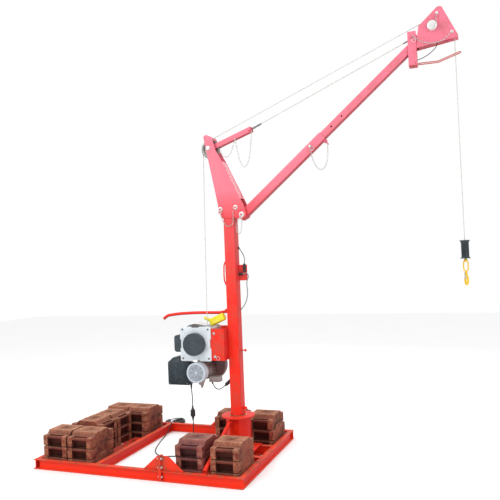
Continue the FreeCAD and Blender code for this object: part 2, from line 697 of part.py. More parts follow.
# ---- ropes --------------------------------------------------------------------------------------------------------
def make_ropes():
    rise = math.degrees(math.atan2(main_sheave_z - axle_z, main_sheave_x - axle_x))
    span = direction(rise)
    upward = (0.0, 1.0)
    rope_x = axle_x - sheave_pitch
    corner = tangent_corner((axle_x, axle_z), sheave_pitch, upward, span)
    leave = (axle_x - span[1] * sheave_pitch + span[0] * 12, axle_z + span[0] * sheave_pitch + span[1] * 12)
    parts["rope_riser"] = bent_rod("rope_riser", [(rope_x, riser_start_y, drum_z), (rope_x, 0, axle_z - 90),
                                                  (corner[0], 0, corner[1]), (leave[0], 0, leave[1])],
                                   rope_diameter, {1: 900.0, 2: sheave_pitch})
    gap_x = tip_roller_x - main_sheave_x
    gap_z = tip_roller_z - main_sheave_z
    distance = math.hypot(gap_x, gap_z)
    lean = math.degrees(math.atan2(gap_z, gap_x) - math.asin((sheave_pitch - tip_roller_pitch) / distance))
    fall = direction(lean)
    over = tangent_corner((main_sheave_x, main_sheave_z), sheave_pitch, span, fall)
    tip = tangent_corner((tip_roller_x, tip_roller_z), tip_roller_pitch, fall, (0.0, -1.0))
    start = (leave[0] + span[0] * 0.4, 0, leave[1] + span[1] * 0.4)
    end_z = tip_roller_z - 30
    parts["rope_span"] = bent_rod("rope_span", [start, (over[0], 0, over[1]), (tip[0], 0, tip[1]),
                                                (hook_x, 0, end_z)],
                                  rope_diameter, {1: sheave_pitch, 2: tip_roller_pitch})
    parts["rope_fall"] = rod((hook_x, 0, hook_weight_top + 0.4), (hook_x, 0, end_z - 0.4), rope_diameter / 2)
    stay = Vec(stay_x - link_end_x, 0, stay_z - link_end_z).normalize()
    first = Vec(link_end_x, 0, link_end_z) + stay * 24
    last = Vec(stay_x, 0, stay_z) - stay * 16
    clevis = rod(tuple(first), tuple(first + stay * 90), 9)
    eye = rod(tuple(last - stay * 60), tuple(last), 7)
    line = rod(tuple(first + stay * 90), tuple(last - stay * 60), rope_diameter / 2)
    parts["stay_rope"] = fuse([clevis, eye, line])


# ---- hook -----------------------------------------------------------------------------------------------------------
def cone(z0, z1, r0, r1):
    return Part.makeCone(r0, r1, z1 - z0, Vec(hook_x, 0, z0), along_z)


def upright(z0, z1, radius):
    return rod((hook_x, 0, z0), (hook_x, 0, z1), radius)


def faced(shape):
    """Turns the hook about its swivel to the way it hangs."""
    return turned(shape, (hook_x, 0, 0), along_z, hook_turn)


def make_hook():
    top = hook_weight_top
    low = hook_weight_bottom
    spool = hook_weight_radius
    parts["hook_weight"] = fuse([upright(low, low + hook_flange, hook_flange_radius),
                                 cone(low + hook_flange, low + 15, spool + 5, spool), upright(low + 15, top - 24, spool),
                                 cone(top - 24, top - hook_flange, spool, spool + 5),
                                 upright(top - hook_flange, top, hook_flange_radius),
                                 upright(low - 9, low, 6), upright(low - 13, low - 8, 10)])
    cup = upright(low - 17, low - 4, 14).cut(upright(low - 13.4, low - 7.6, 10.4)).cut(upright(low - 9, low - 3, 6.05))
    bend_high = ring_top - ring_half
    bend_low = ring_low + ring_half
    loop = []
    for z, keep in ((bend_high, 1), (bend_low, -1)):
        torus = moved(turned(Part.makeTorus(ring_half, ring_bar), (0, 0, 0), along_x, 90), hook_x, 0, z)
        away = block(hook_x - 40, hook_x + 40, -20, 20, min(z, z - keep * 40), max(z, z - keep * 40))
        loop.append(torus.cut(away))
    for side in (-ring_half, ring_half):
        loop.append(rod((hook_x + side, 0, bend_low), (hook_x + side, 0, bend_high), ring_bar))
    nose_z = hook_low + 42
    path = [(hook_x, 0, ring_low + 3), (hook_x, 0, 1547), (hook_x, -hook_bowl, 1521), (hook_x, -hook_bowl, hook_low),
            (hook_x, hook_bowl, hook_low), (hook_x, hook_bowl, nose_z)]
    bar = bent_rod("hook", path, 2 * hook_bar, {1: 14.0, 2: 14.0, 3: hook_bowl - 0.2, 4: hook_bowl - 0.2})
    nose = Part.makeSphere(hook_bar, Vec(hook_x, hook_bowl, nose_z))
    reach = hook_bar + latch_wall + 2
    pin = rod((hook_x - reach, 0, latch_z), (hook_x + reach, 0, latch_z), 2.5)
    parts["hook"] = faced(fuse([cup] + loop + [bar, nose, pin]))
    half = hook_bar + 0.5 + latch_wall
    strip = prism([(hook_x - half, 9.4, latch_z + 1), (hook_x - half, 9.4 + latch_wall, latch_z + 1),
                   (hook_x - half, 18.2, nose_z + 1.5), (hook_x - half, 18.2 - latch_wall, nose_z + 1.5)],
                  Vec(2 * half, 0, 0))
    ears = []
    for side in (-1, 1):
        low_x = min(hook_x + side * (half - latch_wall), hook_x + side * half)
        ear = fuse([rod((low_x, 0, latch_z), (low_x + latch_wall, 0, latch_z), 5),
                    block(low_x, low_x + latch_wall, 0, 10.6, latch_z - 5, latch_z + 1)])
        ears.append(ear.cut(rod((low_x - 1, 0, latch_z), (low_x + latch_wall + 1, 0, latch_z), 2.55)))
    parts["hook_latch"] = faced(fuse([strip] + ears))


# ---- winch ------------------------------------------------------------------------------------------------------------
def winch_plate(y, thick):
    wide = plate_wide / 2
    tall = plate_tall / 2
    plate = block(drum_x - wide, drum_x + wide, y, y + thick, drum_z - tall, drum_z + tall)
    edges = [e for e in plate.Edges if abs(e.tangentAt(e.FirstParameter).y) > 0.9]
    plate = plate.makeFillet(14, edges)
    for x, z, half_x, half_z in ((0, tall, 34, 9), (0, -tall, 34, 9), (wide, 0, 9, 38), (-wide, 0, 9, 38)):
        plate = plate.cut(block(drum_x + x - half_x, drum_x + x + half_x, y - 1, y + thick + 1,
                                drum_z + z - half_z, drum_z + z + half_z))
    return plate.cut(rod((drum_x, y - 1, drum_z), (drum_x, y + thick + 1, drum_z), drum_shaft + running_clearance))


def make_winch():
    front_back = front_plate_y + front_plate_thick
    rods = []
    for sx in (-1, 1):
        for sz in (-1, 1):
            x = drum_x + sx * (plate_wide / 2 - 24)
            z = drum_z + sz * (plate_tall / 2 - 24)
            rods.append(rod((x, front_back, z), (x, rear_plate_y, z), 9))
    parts["winch_plates"] = fuse([winch_plate(front_plate_y, front_plate_thick),
                                  winch_plate(rear_plate_y, rear_plate_thick)] + rods)
    drum_front = front_back + 2
    drum_rear = rear_plate_y - 2
    shaft_front = front_plate_y - 8
    shaft_rear = rear_plate_y + rear_plate_thick + 1
    drum = [rod((drum_x, drum_front + 8, drum_z), (drum_x, drum_rear - 8, drum_z), drum_barrel),
            rod((drum_x, drum_front, drum_z), (drum_x, drum_front + 8, drum_z), drum_flange_radius),
            rod((drum_x, drum_rear - 8, drum_z), (drum_x, drum_rear, drum_z), drum_flange_radius),
            rod((drum_x, shaft_front, drum_z), (drum_x, shaft_rear, drum_z), drum_shaft)]
    parts["rope_drum"] = fuse(drum)
    cap_back = front_plate_y
    cap_front = front_plate_y - cap_depth
    cap = rod((drum_x, cap_front, drum_z), (drum_x, cap_back, drum_z), cap_radius)
    edges = [e for e in cap.Edges if abs(e.BoundBox.YMin - cap_front) < 0.1 and abs(e.BoundBox.YMax - cap_front) < 0.1]
    cap = cap.makeFillet(7, edges)
    cap = cap.cut(rod((drum_x, cap_front + 5, drum_z), (drum_x, cap_back + 1, drum_z), cap_radius - 5))
    side_x = drum_x - plate_wide / 2
    side = block(side_x - 68, side_x + 24, front_back + 4, front_back + 96, drum_z - 74, drum_z + 74)
    edges = [e for e in side.Edges if abs(e.tangentAt(e.FirstParameter).y) > 0.9]
    side = side.makeFillet(26, edges)
    for x, z in ((side_x + 24, drum_z + 126), (side_x + 24, drum_z - 126)):
        side = side.cut(rod((x, front_back, z), (x, rear_plate_y, z), 12))
    parts["winch_covers"] = group([cap, side])
    guard_outer = 176.0
    guard = ring((drum_x, front_back, drum_z), (drum_x, rear_plate_y, drum_z), guard_outer, guard_outer - 3)
    fan = []
    for degrees in (72, 90, 110, 130, 146):
        c, s = direction(degrees)
        fan.append((drum_x + 260 * c, drum_z + 260 * s))
    wedge = side_prism([(drum_x, drum_z)] + fan, front_back, rear_plate_y)
    guard = guard.common(wedge)
    tie_x = drum_x - plate_wide / 2 + 24
    tie_z = drum_z + plate_tall / 2 - 24
    guard = guard.cut(rod((tie_x, front_back - 1, tie_z), (tie_x, rear_plate_y + 1, tie_z), 9.3))
    # clear of the pendant control's lead
    guard = guard.cut(block(drum_x - 26, drum_x + guard_outer, pendant_y - 18, rear_plate_y + 1, drum_z, drum_z + 260))
    parts["drum_guard"] = group([guard])
    box_left = drum_x - 282
    box_low = drum_z - 362
    box = side_prism([(box_left, box_low), (box_left + 206, box_low), (box_left + 206, box_low + 180),
                      (box_left + 136, box_low + 206), (box_left + 100, box_low + 240),
                      (box_left + 52, box_low + 240), (box_left, box_low + 196)], front_back - 4, -20)
    edges = [e for e in box.Edges if abs(e.tangentAt(e.FirstParameter).y) > 0.9]
    box = box.makeFillet(6, edges)
    box = box.cut(rod((motor_x, front_plate_y - 60, motor_z), (motor_x, 80, motor_z), fan_cover_radius + 2))
    parts["control_box"] = box
    make_motor()
    make_gear_case()
    make_bracket()


def make_motor():
    body = rod((motor_x, motor_front, motor_z), (motor_x, motor_back, motor_z), motor_radius)
    fins = []
    for i in range(28):
        a = math.radians(360 / 28 * i)
        fin = block(motor_radius - 4, motor_radius + 9, motor_front + 14, motor_back - 26, -1.6, 1.6)
        fins.append(moved(turned(fin, (0, 0, 0), along_y, math.degrees(a)), motor_x, 0, motor_z))
    box_side = block(motor_x + 62, motor_x + 160, -62, 8, motor_z - 100, motor_z - 52)
    foot = side_prism([(motor_x - 46, motor_z - 70), (motor_x + 50, motor_z - 70), (motor_x + 22, motor_z - 142),
                       (motor_x + 10, motor_z - 142), (motor_x + 4, motor_z - 118), (motor_x - 6, motor_z - 118)],
                      motor_front + 20, motor_front + 26)
    shaft_hole = rod((motor_x, motor_front - 1, motor_z), (motor_x, motor_front + 60, motor_z), 10.05)
    shaft_boss = rod((motor_x, motor_front - 6, motor_z), (motor_x, motor_front, motor_z), 24)
    motor = fuse([body, shaft_boss, box_side, foot] + fins)
    parts["motor"] = motor.cut(shaft_hole).cut(rod((motor_x, motor_front - 8, motor_z),
                                                   (motor_x, motor_front + 60, motor_z), 10.05))
    cover = ring((motor_x, fan_cover_front, motor_z), (motor_x, motor_front + 12, motor_z),
                 fan_cover_radius, fan_cover_radius - 2.5)
    face = ring((motor_x, fan_cover_front, motor_z), (motor_x, fan_cover_front + 2.5, motor_z),
                fan_cover_radius, 70)
    hub = rod((motor_x, fan_cover_front, motor_z), (motor_x, fan_cover_front + 2.5, motor_z), 12)
    bars = [hub, face]
    for radius in (24, 36, 48, 60):
        bars.append(ring((motor_x, fan_cover_front, motor_z), (motor_x, fan_cover_front + 2.5, motor_z),
                         radius, radius - 3))
    for i in range(8):
        bar = block(10, 72, fan_cover_front, fan_cover_front + 2.5, -1.5, 1.5)
        bars.append(moved(turned(bar, (0, 0, 0), along_y, 45 * i + 22.5), motor_x, 0, motor_z))
    spacer = ring((motor_x, motor_front, motor_z), (motor_x, motor_front + 12, motor_z),
                  fan_cover_radius - 2.5, motor_radius)
    parts["fan_cover"] = fuse([cover, spacer] + bars)
    blades = [rod((motor_x, motor_front + 40, motor_z), (motor_x, motor_front - 36, motor_z), 10),
              rod((motor_x, motor_front - 34, motor_z), (motor_x, motor_front - 14, motor_z), 26)]
    for i in range(6):
        blade = block(20, 74, motor_front - 34, motor_front - 14, -1.5, 1.5)
        blades.append(moved(turned(blade, (0, 0, 0), along_y, 60 * i), motor_x, 0, motor_z))
    parts["motor_fan"] = fuse(blades)


def make_gear_case():
    back = gear_case_y + gear_case_thick
    lower = rod((gear_case_x, gear_case_y, gear_case_z), (gear_case_x, back, gear_case_z), gear_case_radius)
    upper = rod((drum_x, gear_case_y, drum_z), (drum_x, back, drum_z), 122)
    bridge = side_prism([(drum_x - 122, drum_z), (drum_x + 122, drum_z), (gear_case_x + gear_case_radius, gear_case_z),
                         (gear_case_x - gear_case_radius, gear_case_z)], gear_case_y, back)
    case = fuse([lower, upper, bridge])
    neck = rod((drum_x, rear_plate_y + rear_plate_thick, drum_z), (drum_x, gear_case_y, drum_z), 60)
    neck = neck.cut(rod((drum_x, rear_plate_y + rear_plate_thick - 1, drum_z), (drum_x, gear_case_y, drum_z), 20))
    parts["gear_case"] = fuse([case, neck])


def make_bracket():
    half = mast_size / 2
    front_face = front_plate_y + front_plate_thick
    back = gear_case_y + gear_case_thick
    web = block(-half - bracket_wall, -half, front_face, back + bracket_wall, bracket_low, bracket_high)
    front = block(-half - bracket_reach, -half - bracket_wall, front_face, front_face + bracket_wall,
                  bracket_low, bracket_high)
    rear = block(-half - bracket_reach, -half - bracket_wall, back, back + bracket_wall, bracket_low, bracket_high)
    bracket = fuse([web, front, rear])
    for sz in (-1, 1):
        x = drum_x + plate_wide / 2 - 24
        z = drum_z + sz * (plate_tall / 2 - 24)
        bracket = bracket.cut(rod((x, front_face - 1, z), (x, front_face + bracket_wall + 1, z), 9.4))
    bracket = bracket.cut(rod((drum_x, front_face - 1, drum_z), (drum_x, front_face + bracket_wall + 1, drum_z),
                              drum_flange_radius + 3))
    for x, z in bracket_pin_places:
        bracket = bracket.cut(rod((x, front_face - 1, z), (x, front_face + bracket_wall + 1, z), 6.2))
    parts["winch_bracket"] = bracket
    pins = []
    for x, z in bracket_pin_places:
        pins.append(bolt(x, front_face, z, along_y, bracket_wall, 12.0))
    for y in (-26, 26):
        for z in (bracket_low + 40, bracket_high - 40):
            pins.append(hexagon(-half - bracket_wall, y, z, along_x * -1, 19.0, 8.0))
    pull = turned(Part.makeTorus(15, 2.2), (0, 0, 0), along_x, 90)
    pins.append(moved(pull, -104, front_face - 12, 890))
    parts["bracket_pins"] = group(pins)


def make_handle():
    hub = rod((handle_hub_x, handle_y - 10.5, handle_hub_z), (handle_hub_x, handle_y + 10.5, handle_hub_z), 18)
    grip = bent_rod("slewing_handle", [(handle_hub_x - 6, handle_y, handle_hub_z - 6), (-150, handle_y, 1268),
                                       (-380, handle_y, 1270), (-560, handle_y, 1262), (-672, handle_y, 1247),
                                       (-714, handle_y, 1218)], 2 * handle_radius, {1: 90.0, 4: 60.0})
    trim = block(handle_hub_x - 40, -mast_size / 2, handle_y - 30, handle_y - 10.5, 1240, 1310)
    other = block(handle_hub_x - 40, -mast_size / 2, handle_y + 10.5, handle_y + 30, 1240, 1310)
    handle = fuse([hub, grip.cut(trim).cut(other)])
    parts["slewing_handle"] = handle.cut(rod((handle_hub_x, 0, handle_hub_z), (handle_hub_x, 60, handle_hub_z), 8.05))


def on_pendant(shape):
    """Takes a shape drawn about the control's middle and hangs it beside the mast, its buttons to the rear."""
    flipped = turned(shape, (0, 0, 0), along_x, 180)
    return moved(turned(flipped, (0, 0, 0), along_y, -pendant_tilt), pendant_x, pendant_y, pendant_z)


def make_pendant():
    half = pendant_length / 2
    depth = pendant_depth / 2
    thick = pendant_thick / 2
    body = block(-half, half, -thick, thick, -depth, depth)
    body = body.makeFillet(15, body.Edges)
    ring_eye = turned(Part.makeTorus(8, 2.6), (0, 0, 0), along_x, 90)
    body = fuse([body, moved(ring_eye, half + 6, 0, 0)])
    rocker_x = -26.0
    stop_x = 38.0
    body = body.cut(block(rocker_x - 31, rocker_x + 31, -thick - 1, -thick + 14, -17, 17))
    body = body.cut(rod((stop_x, -thick - 1, 0), (stop_x, -thick + 14, 0), 13 + button_gap))
    body = body.cut(rod((rocker_x, -thick + 7, -22), (rocker_x, -thick + 7, 22), 3.05))
    # the lead comes out of a long grommet that leans back towards the winch
    start = Vec(pendant_x - 54, pendant_y, pendant_z - 14)
    lean = Vec(-math.cos(math.radians(pendant_tilt)), 0, math.sin(math.radians(pendant_tilt)))
    gland = rod(tuple(start), tuple(start + lean * 70), 14)
    tip = rod(tuple(start + lean * 70), tuple(start + lean * 78), 10)
    parts["pendant_body"] = fuse([on_pendant(body), gland, tip])
    rocker = prism([(rocker_x - 28, -thick + 3, -16), (rocker_x - 28, -thick - 5, -16), (rocker_x, -thick - 1, -16),
                    (rocker_x + 28, -thick - 5, -16), (rocker_x + 28, -thick + 3, -16),
                    (rocker_x + 6, -thick + 10, -16), (rocker_x - 6, -thick + 10, -16)], Vec(0, 0, 32))
    rocker = fuse([rocker, rod((rocker_x, -thick + 7, -21), (rocker_x, -thick + 7, 21), 3)])
    parts["pendant_rocker"] = on_pendant(rocker)
    stop = fuse([rod((stop_x, -thick + 8, 0), (stop_x, -thick - 6, 0), 13),
                 rod((stop_x, -thick - 6, 0), (stop_x, -thick - 10, 0), 17)])
    parts["pendant_stop"] = on_pendant(stop)


# ---- leads --------------------------------------------------------------------------------------------------------------
def make_leads():
    half = mast_size / 2
    low = 352.0
    parts["supply_drop"] = bent_rod("supply_drop", [(-390, -112, 650), (-388, -114, 610), (-376, -128, 560),
                                                    (-370, -138, 505), (-370, -140, 470.4)], supply_lead)
    plug = fuse([rod((-370, -140, 470), (-370, -140, 448), 8), rod((-370, -140, 448), (-370, -140, 436), 13),
                 rod((-370, -140, 436), (-370, -140, 384), connector_radius),
                 rod((-370, -140, 384), (-370, -140, 372), 13), rod((-370, -140, 372), (-370, -140, low), 8)])
    parts["inline_connector"] = plug
    tail = [(-370, -140, low - 0.4), (-370, -140, 300), (-372, -138, 235), (-378, -134, 165), (-392, -128, 98),
            (-424, -122, 42), (-478, -112, 8), (-545, -92, 4.5), (-612, -102, 4.5), (-672, -128, 4.5),
            (-738, -112, 4.5), (-800, -62, 4.5), (-846, 8, 4.5), (-880, 88, 4.5), (-908, 178, 4.5),
            (-938, 270, 4.5), (-962, 362, 4.5), (-980, 452, 8), (-990, 530, 34), (-994, 590, 76),
            (-997, 628, 104), (-1000, 682, 104), (-1003, 720, 72), (-1008, 770, 26), (-1016, 826, 4.6),
            (-1034, 878, 4.5)]
    parts["supply_tail"] = bent_rod("supply_tail", tail, supply_lead)
    coil_inner = supply_coil_turns_radius - 18.5
    coil_outer = supply_coil_turns_radius + 18.5
    parts["supply_coil"] = ring((coil_x, coil_y, 0), (coil_x, coil_y, 3.1 * supply_lead), coil_outer, coil_inner)
    plug_x = coil_x - 108
    plug_y = coil_y - 45
    parts["supply_plug"] = fuse([rod((plug_x, plug_y - 30, 20), (plug_x, plug_y + 26, 20), 19),
                                 rod((plug_x, plug_y + 26, 20), (plug_x, plug_y + 50, 20), 9),
                                 rod((plug_x, plug_y - 48, 20), (plug_x, plug_y - 30, 20), 15)])
    upper = [(half + 4, 30, 1838), (half + 22, 30, 1812), (half + 48, 28, 1772), (half + 62, 18, 1730),
             (half + 60, 6.5, 1695.6)]
    parts["cable_upper"] = bent_rod("cable_upper", upper, signal_lead)
    lower = [(half + 42, 6, 1604.6), (half + 66, 4, 1616), (half + 92, 2, 1604), (half + 96, 0, 1572),
             (half + 80, 0, 1546), (half + 78, 2, 1500), (half + 82, 4, 1440), (half + 72, 8, 1380),
             (half + 42, 12, 1326), (half + 5, 16, 1288)]
    parts["cable_lower"] = bent_rod("cable_lower", lower, signal_lead, {})
    motor_run = [(motor_x + 74, -20, motor_z - 100.8), (motor_x + 78, -20, motor_z - 128),
                 (motor_x + 100, -18, motor_z - 162), (motor_x + 130, -16, motor_z - 174),
                 (motor_x + 161, -14, motor_z - 161), (motor_x + 188, -12, motor_z - 140)]
    parts["motor_lead"] = bent_rod("motor_lead", motor_run, signal_lead)
    socket = fuse([rod((half + 60, 6, 1694), (half + 60, 6, 1676), 11), rod((half + 60, 6, 1676), (half + 60, 6, 1650), 13.5),
                   rod((half + 60, 6, 1650), (half + 60, 6, 1622), 12), block(half + 48, half + 72, 6, 20, 1656, 1670)])
    boss = rod((half + 5, 6, 1604), (half + 40, 6, 1604), 12)
    start = Vec(*motor_run[-1])
    end = Vec(motor_x + 243, -6, motor_z - 91)
    plug_dir = (end - start).normalize()
    motor_plug = fuse([rod(tuple(start + plug_dir * 2.4), tuple(start + plug_dir * 16), 8),
                       rod(tuple(start + plug_dir * 16), tuple(end), 15)])
    motor_plug = motor_plug.cut(block(-half, half, -half, half, 400, 1000))
    parts["mast_connectors"] = group([socket, boss, motor_plug])
    limit = [(1800, -24, 3343.2), (1798, -24, 3326), (1776, -24, 3298), (1736, -24, 3268), (1688, -23, 3244),
             (limit_right + 1, -22, 3234)]
    parts["limit_lead"] = bent_rod("limit_lead", limit, 6.0)


make_frame()
make_tray_rails()
make_weights()
make_foot()
make_mast()
make_head()
make_sheaves()
make_boom()
make_boom_head()
make_ropes()
make_hook()
make_winch()
make_handle()
make_pendant()
make_leads()

os.makedirs("parts", exist_ok=True)
for name, shape in parts.items():
    shape.exportStep("parts/" + name + ".step")
    print(name, len(shape.Solids), "solids", "valid" if shape.isValid() else "NOT VALID", round(shape.Volume))
print(len(parts), "nodes")
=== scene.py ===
import json
import math

import bmesh
import bpy
from mathutils import Matrix, Vector
from mathutils.bvhtree import BVHTree


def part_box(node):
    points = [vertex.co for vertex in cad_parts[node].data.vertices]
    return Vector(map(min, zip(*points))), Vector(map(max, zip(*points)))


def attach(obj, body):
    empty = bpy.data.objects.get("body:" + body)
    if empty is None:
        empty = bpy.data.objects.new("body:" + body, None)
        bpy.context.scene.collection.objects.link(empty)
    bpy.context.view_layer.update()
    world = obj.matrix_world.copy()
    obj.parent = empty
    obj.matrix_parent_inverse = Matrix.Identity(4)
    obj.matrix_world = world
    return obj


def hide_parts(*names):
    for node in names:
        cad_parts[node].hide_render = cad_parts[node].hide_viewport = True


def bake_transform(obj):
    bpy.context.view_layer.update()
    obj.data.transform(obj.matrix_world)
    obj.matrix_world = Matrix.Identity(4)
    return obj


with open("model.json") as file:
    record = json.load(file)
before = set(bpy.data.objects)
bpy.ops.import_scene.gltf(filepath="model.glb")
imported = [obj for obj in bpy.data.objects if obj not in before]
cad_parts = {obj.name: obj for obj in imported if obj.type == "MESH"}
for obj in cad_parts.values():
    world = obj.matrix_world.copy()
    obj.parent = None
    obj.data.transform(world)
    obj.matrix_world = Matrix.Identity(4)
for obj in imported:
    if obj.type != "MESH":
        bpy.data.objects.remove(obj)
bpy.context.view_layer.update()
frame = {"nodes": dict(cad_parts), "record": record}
scene = bpy.context.scene
nodes = frame["nodes"]
bodyOf = {name: body for body, names in frame["record"]["behaviour"]["bodies"].items() for name in names}


# camera, light and floor
camera = {"place": (1.975, -4.825, 1.680), "right": (0.93555, 0.35091, -0.04026),
          "up": (0.04661, -0.00968, 0.99887), "ahead": (-0.35012, 0.93636, 0.02541), "lens": 42.65}


def setCamera():
    data = bpy.data.cameras.new("camera")
    data.lens = camera["lens"]
    data.sensor_width = 36
    data.clip_end = 60
    holder = bpy.data.objects.new("camera", data)
    scene.collection.objects.link(holder)
    right, up, ahead = (Vector(camera[key]).normalized() for key in ("right", "up", "ahead"))
    turn = Matrix((right, up, -ahead)).transposed().to_4x4()
    holder.matrix_world = Matrix.Translation(camera["place"]) @ turn
    scene.camera = holder


lights = {"key": ((-2.4, -4.6, 5.2), (-0.2, 0, 1.4), 150, 3.0), "fill": ((4.6, -3.2, 3.4), (0.4, 0, 1.6), 60, 3.4),
          "rim": ((1.0, 4.6, 4.2), (0.0, 0, 1.6), 70, 3.0)}


def setLights():
    world = bpy.data.worlds.new("studio")
    world.use_nodes = True
    tree = world.node_tree
    backdrop = tree.nodes["Background"]
    place = put(tree, "ShaderNodeTexCoord")
    towards = put(tree, "ShaderNodeVectorMath", operation="DOT_PRODUCT")
    joined(tree, place.outputs["Generated"], towards.inputs[0])
    towards.inputs[1].default_value = (-0.35, 0.936, 0.0)
    split = put(tree, "ShaderNodeSeparateXYZ")
    joined(tree, place.outputs["Generated"], split.inputs[0])
    behind = mapRange(tree, towards.outputs["Value"], 0.30, 0.70, 0.55, 1.0)
    above = mapRange(tree, split.outputs["Z"], 0.35, 0.75, 0.55, 1.08)
    strength = mathNode(tree, "MAXIMUM", behind, above)
    joined(tree, strength, backdrop.inputs["Strength"])
    backdrop.inputs["Color"].default_value = (1, 1, 1, 1)
    scene.world = world
    for name, (place, aim, watts, size) in lights.items():
        data = bpy.data.lights.new(name, "AREA")
        data.energy = watts
        data.size = size
        holder = bpy.data.objects.new(name, data)
        holder.location = place
        holder.rotation_euler = (Vector(aim) - Vector(place)).to_track_quat("-Z", "Y").to_euler()
        scene.collection.objects.link(holder)
    scene.view_settings.view_transform = "Standard"
    scene.view_settings.look = "None"


# shader node groups
def makeGroup(name, inputs, outputs):
    group = bpy.data.node_groups.new(name, "ShaderNodeTree")
    for label, kind, value in inputs:
        socket = group.interface.new_socket(name=label, in_out="INPUT", socket_type=kind)
        if value is not None:
            socket.default_value = value
    for label, kind in outputs:
        group.interface.new_socket(name=label, in_out="OUTPUT", socket_type=kind)
    return group, group.nodes.new("NodeGroupInput"), group.nodes.new("NodeGroupOutput")


def put(tree, kind, **values):
    node = tree.nodes.new(kind)
    for key, value in values.items():
        if hasattr(node, key):
            setattr(node, key, value)
    return node


def joined(tree, source, target):
    tree.links.new(source, target)


def mathNode(tree, operation, first, second, clamp=False):
    node = put(tree, "ShaderNodeMath", operation=operation, use_clamp=clamp)
    for index, value in enumerate((first, second)):
        if isinstance(value, (int, float)):
            node.inputs[index].default_value = value
        else:
            joined(tree, value, node.inputs[index])
    return node.outputs[0]


def noiseNode(tree, vector, scale, detail=4.0, rough=0.55, distortion=0.0):
    node = put(tree, "ShaderNodeTexNoise")
    joined(tree, vector, node.inputs["Vector"])
    if isinstance(scale, (int, float)):
        node.inputs["Scale"].default_value = scale
    else:
        joined(tree, scale, node.inputs["Scale"])
    node.inputs["Detail"].default_value = detail
    node.inputs["Roughness"].default_value = rough
    node.inputs["Distortion"].default_value = distortion
    return node.outputs["Fac"]


def mapRange(tree, value, low, high, outLow=0.0, outHigh=1.0):
    node = put(tree, "ShaderNodeMapRange")
    joined(tree, value, node.inputs["Value"])
    for key, number in (("From Min", low), ("From Max", high), ("To Min", outLow), ("To Max", outHigh)):
        node.inputs[key].default_value = number
    return node.outputs["Result"]


def mixColour(tree, factor, first, second):
    node = put(tree, "ShaderNodeMix", data_type="RGBA")
    joined(tree, factor, node.inputs["Factor"])
    for key, value in ((6, first), (7, second)):
        if isinstance(value, tuple):
            node.inputs[key].default_value = value
        else:
            joined(tree, value, node.inputs[key])
    return node.outputs[2]


# painted shade: near-black colour where a surface is closed in by nearby parts of the same piece, written as a vertex
# attribute by the ray-casting function below
paintedCreviceShade = {"colour": (0.016, 0.006, 0.005, 1), "reach": 0.060, "rays": 14, "spread": 0.92, "most": 0.74, "gain": 1.25,
         "lift": 0.0008, "turn": 2.4}


def makeWornAndShadeGroup():
    group, first, last = makeGroup("wornSurfaceAndPaintedShade",
                                   [("Vector", "NodeSocketVector", None),
                                    ("Base", "NodeSocketColor", (0.5, 0.5, 0.5, 1)),
                                    ("Second", "NodeSocketColor", (0.4, 0.4, 0.4, 1)),
                                    ("Worn", "NodeSocketColor", (0.3, 0.3, 0.3, 1)),
                                    ("Dirt", "NodeSocketColor", (0.3, 0.25, 0.2, 1)),
                                    ("Scale", "NodeSocketFloat", 8.0), ("Mottle", "NodeSocketFloat", 0.5),
                                    ("Wear", "NodeSocketFloat", 0.3), ("Dust", "NodeSocketFloat", 0.2),
                                    ("Rough", "NodeSocketFloat", 0.4)],
                                   [("Color", "NodeSocketColor"), ("Roughness", "NodeSocketFloat"),
                                    ("Height", "NodeSocketFloat"), ("Mask", "NodeSocketFloat")])
    vector = first.outputs["Vector"]
    scale = first.outputs["Scale"]
    broad = noiseNode(group, vector, scale, 5.0)
    fine = noiseNode(group, vector, mathNode(group, "MULTIPLY", scale, 9.0), 6.0, 0.65)
    spots = noiseNode(group, vector, mathNode(group, "MULTIPLY", scale, 3.2), 8.0, 0.7, 0.4)
    mottle = mathNode(group, "MULTIPLY", mapRange(group, broad, 0.36, 0.66), first.outputs["Mottle"], True)
    colour = mixColour(group, mottle, first.outputs["Base"], first.outputs["Second"])
    geometry = put(group, "ShaderNodeNewGeometry")
    edge = mapRange(group, geometry.outputs["Pointiness"], 0.51, 0.58)
    edge = mathNode(group, "MULTIPLY", edge, mapRange(group, spots, 0.42, 0.62), True)
    chips = mapRange(group, spots, 0.66, 0.70)
    worn = mathNode(group, "MAXIMUM", edge, mathNode(group, "MULTIPLY", chips, 0.8))
    creviceShadeNode = put(group, "ShaderNodeAttribute", attribute_name="paintedCreviceShade")
    worn = mathNode(group, "MULTIPLY", worn, first.outputs["Wear"], True)
    colour = mixColour(group, worn, colour, first.outputs["Worn"])
    split = put(group, "ShaderNodeSeparateXYZ")
    joined(group, geometry.outputs["Normal"], split.inputs[0])
    top = mapRange(group, split.outputs["Z"], 0.25, 0.95)
    settled = mathNode(group, "MULTIPLY", mapRange(group, fine, 0.3, 0.7), top)
    settled = mathNode(group, "MULTIPLY", settled, first.outputs["Dust"], True)
    colour = mixColour(group, settled, colour, first.outputs["Dirt"])
    # painted shade: the crevice attribute darkens the colour towards near-black where the surface is closed in
    colour = mixColour(group, creviceShadeNode.outputs["Fac"], colour, paintedCreviceShade["colour"])
    rough = mathNode(group, "ADD", first.outputs["Rough"], mapRange(group, fine, 0.2, 0.8, -0.08, 0.1))
    rough = mathNode(group, "ADD", rough, mathNode(group, "MULTIPLY", worn, 0.25))
    rough = mathNode(group, "ADD", rough, mathNode(group, "MULTIPLY", settled, 0.3), True)
    height = mathNode(group, "SUBTRACT", fine, mathNode(group, "MULTIPLY", worn, 0.6))
    joined(group, colour, last.inputs["Color"])
    joined(group, rough, last.inputs["Roughness"])
    joined(group, height, last.inputs["Height"])
    joined(group, worn, last.inputs["Mask"])
    return group


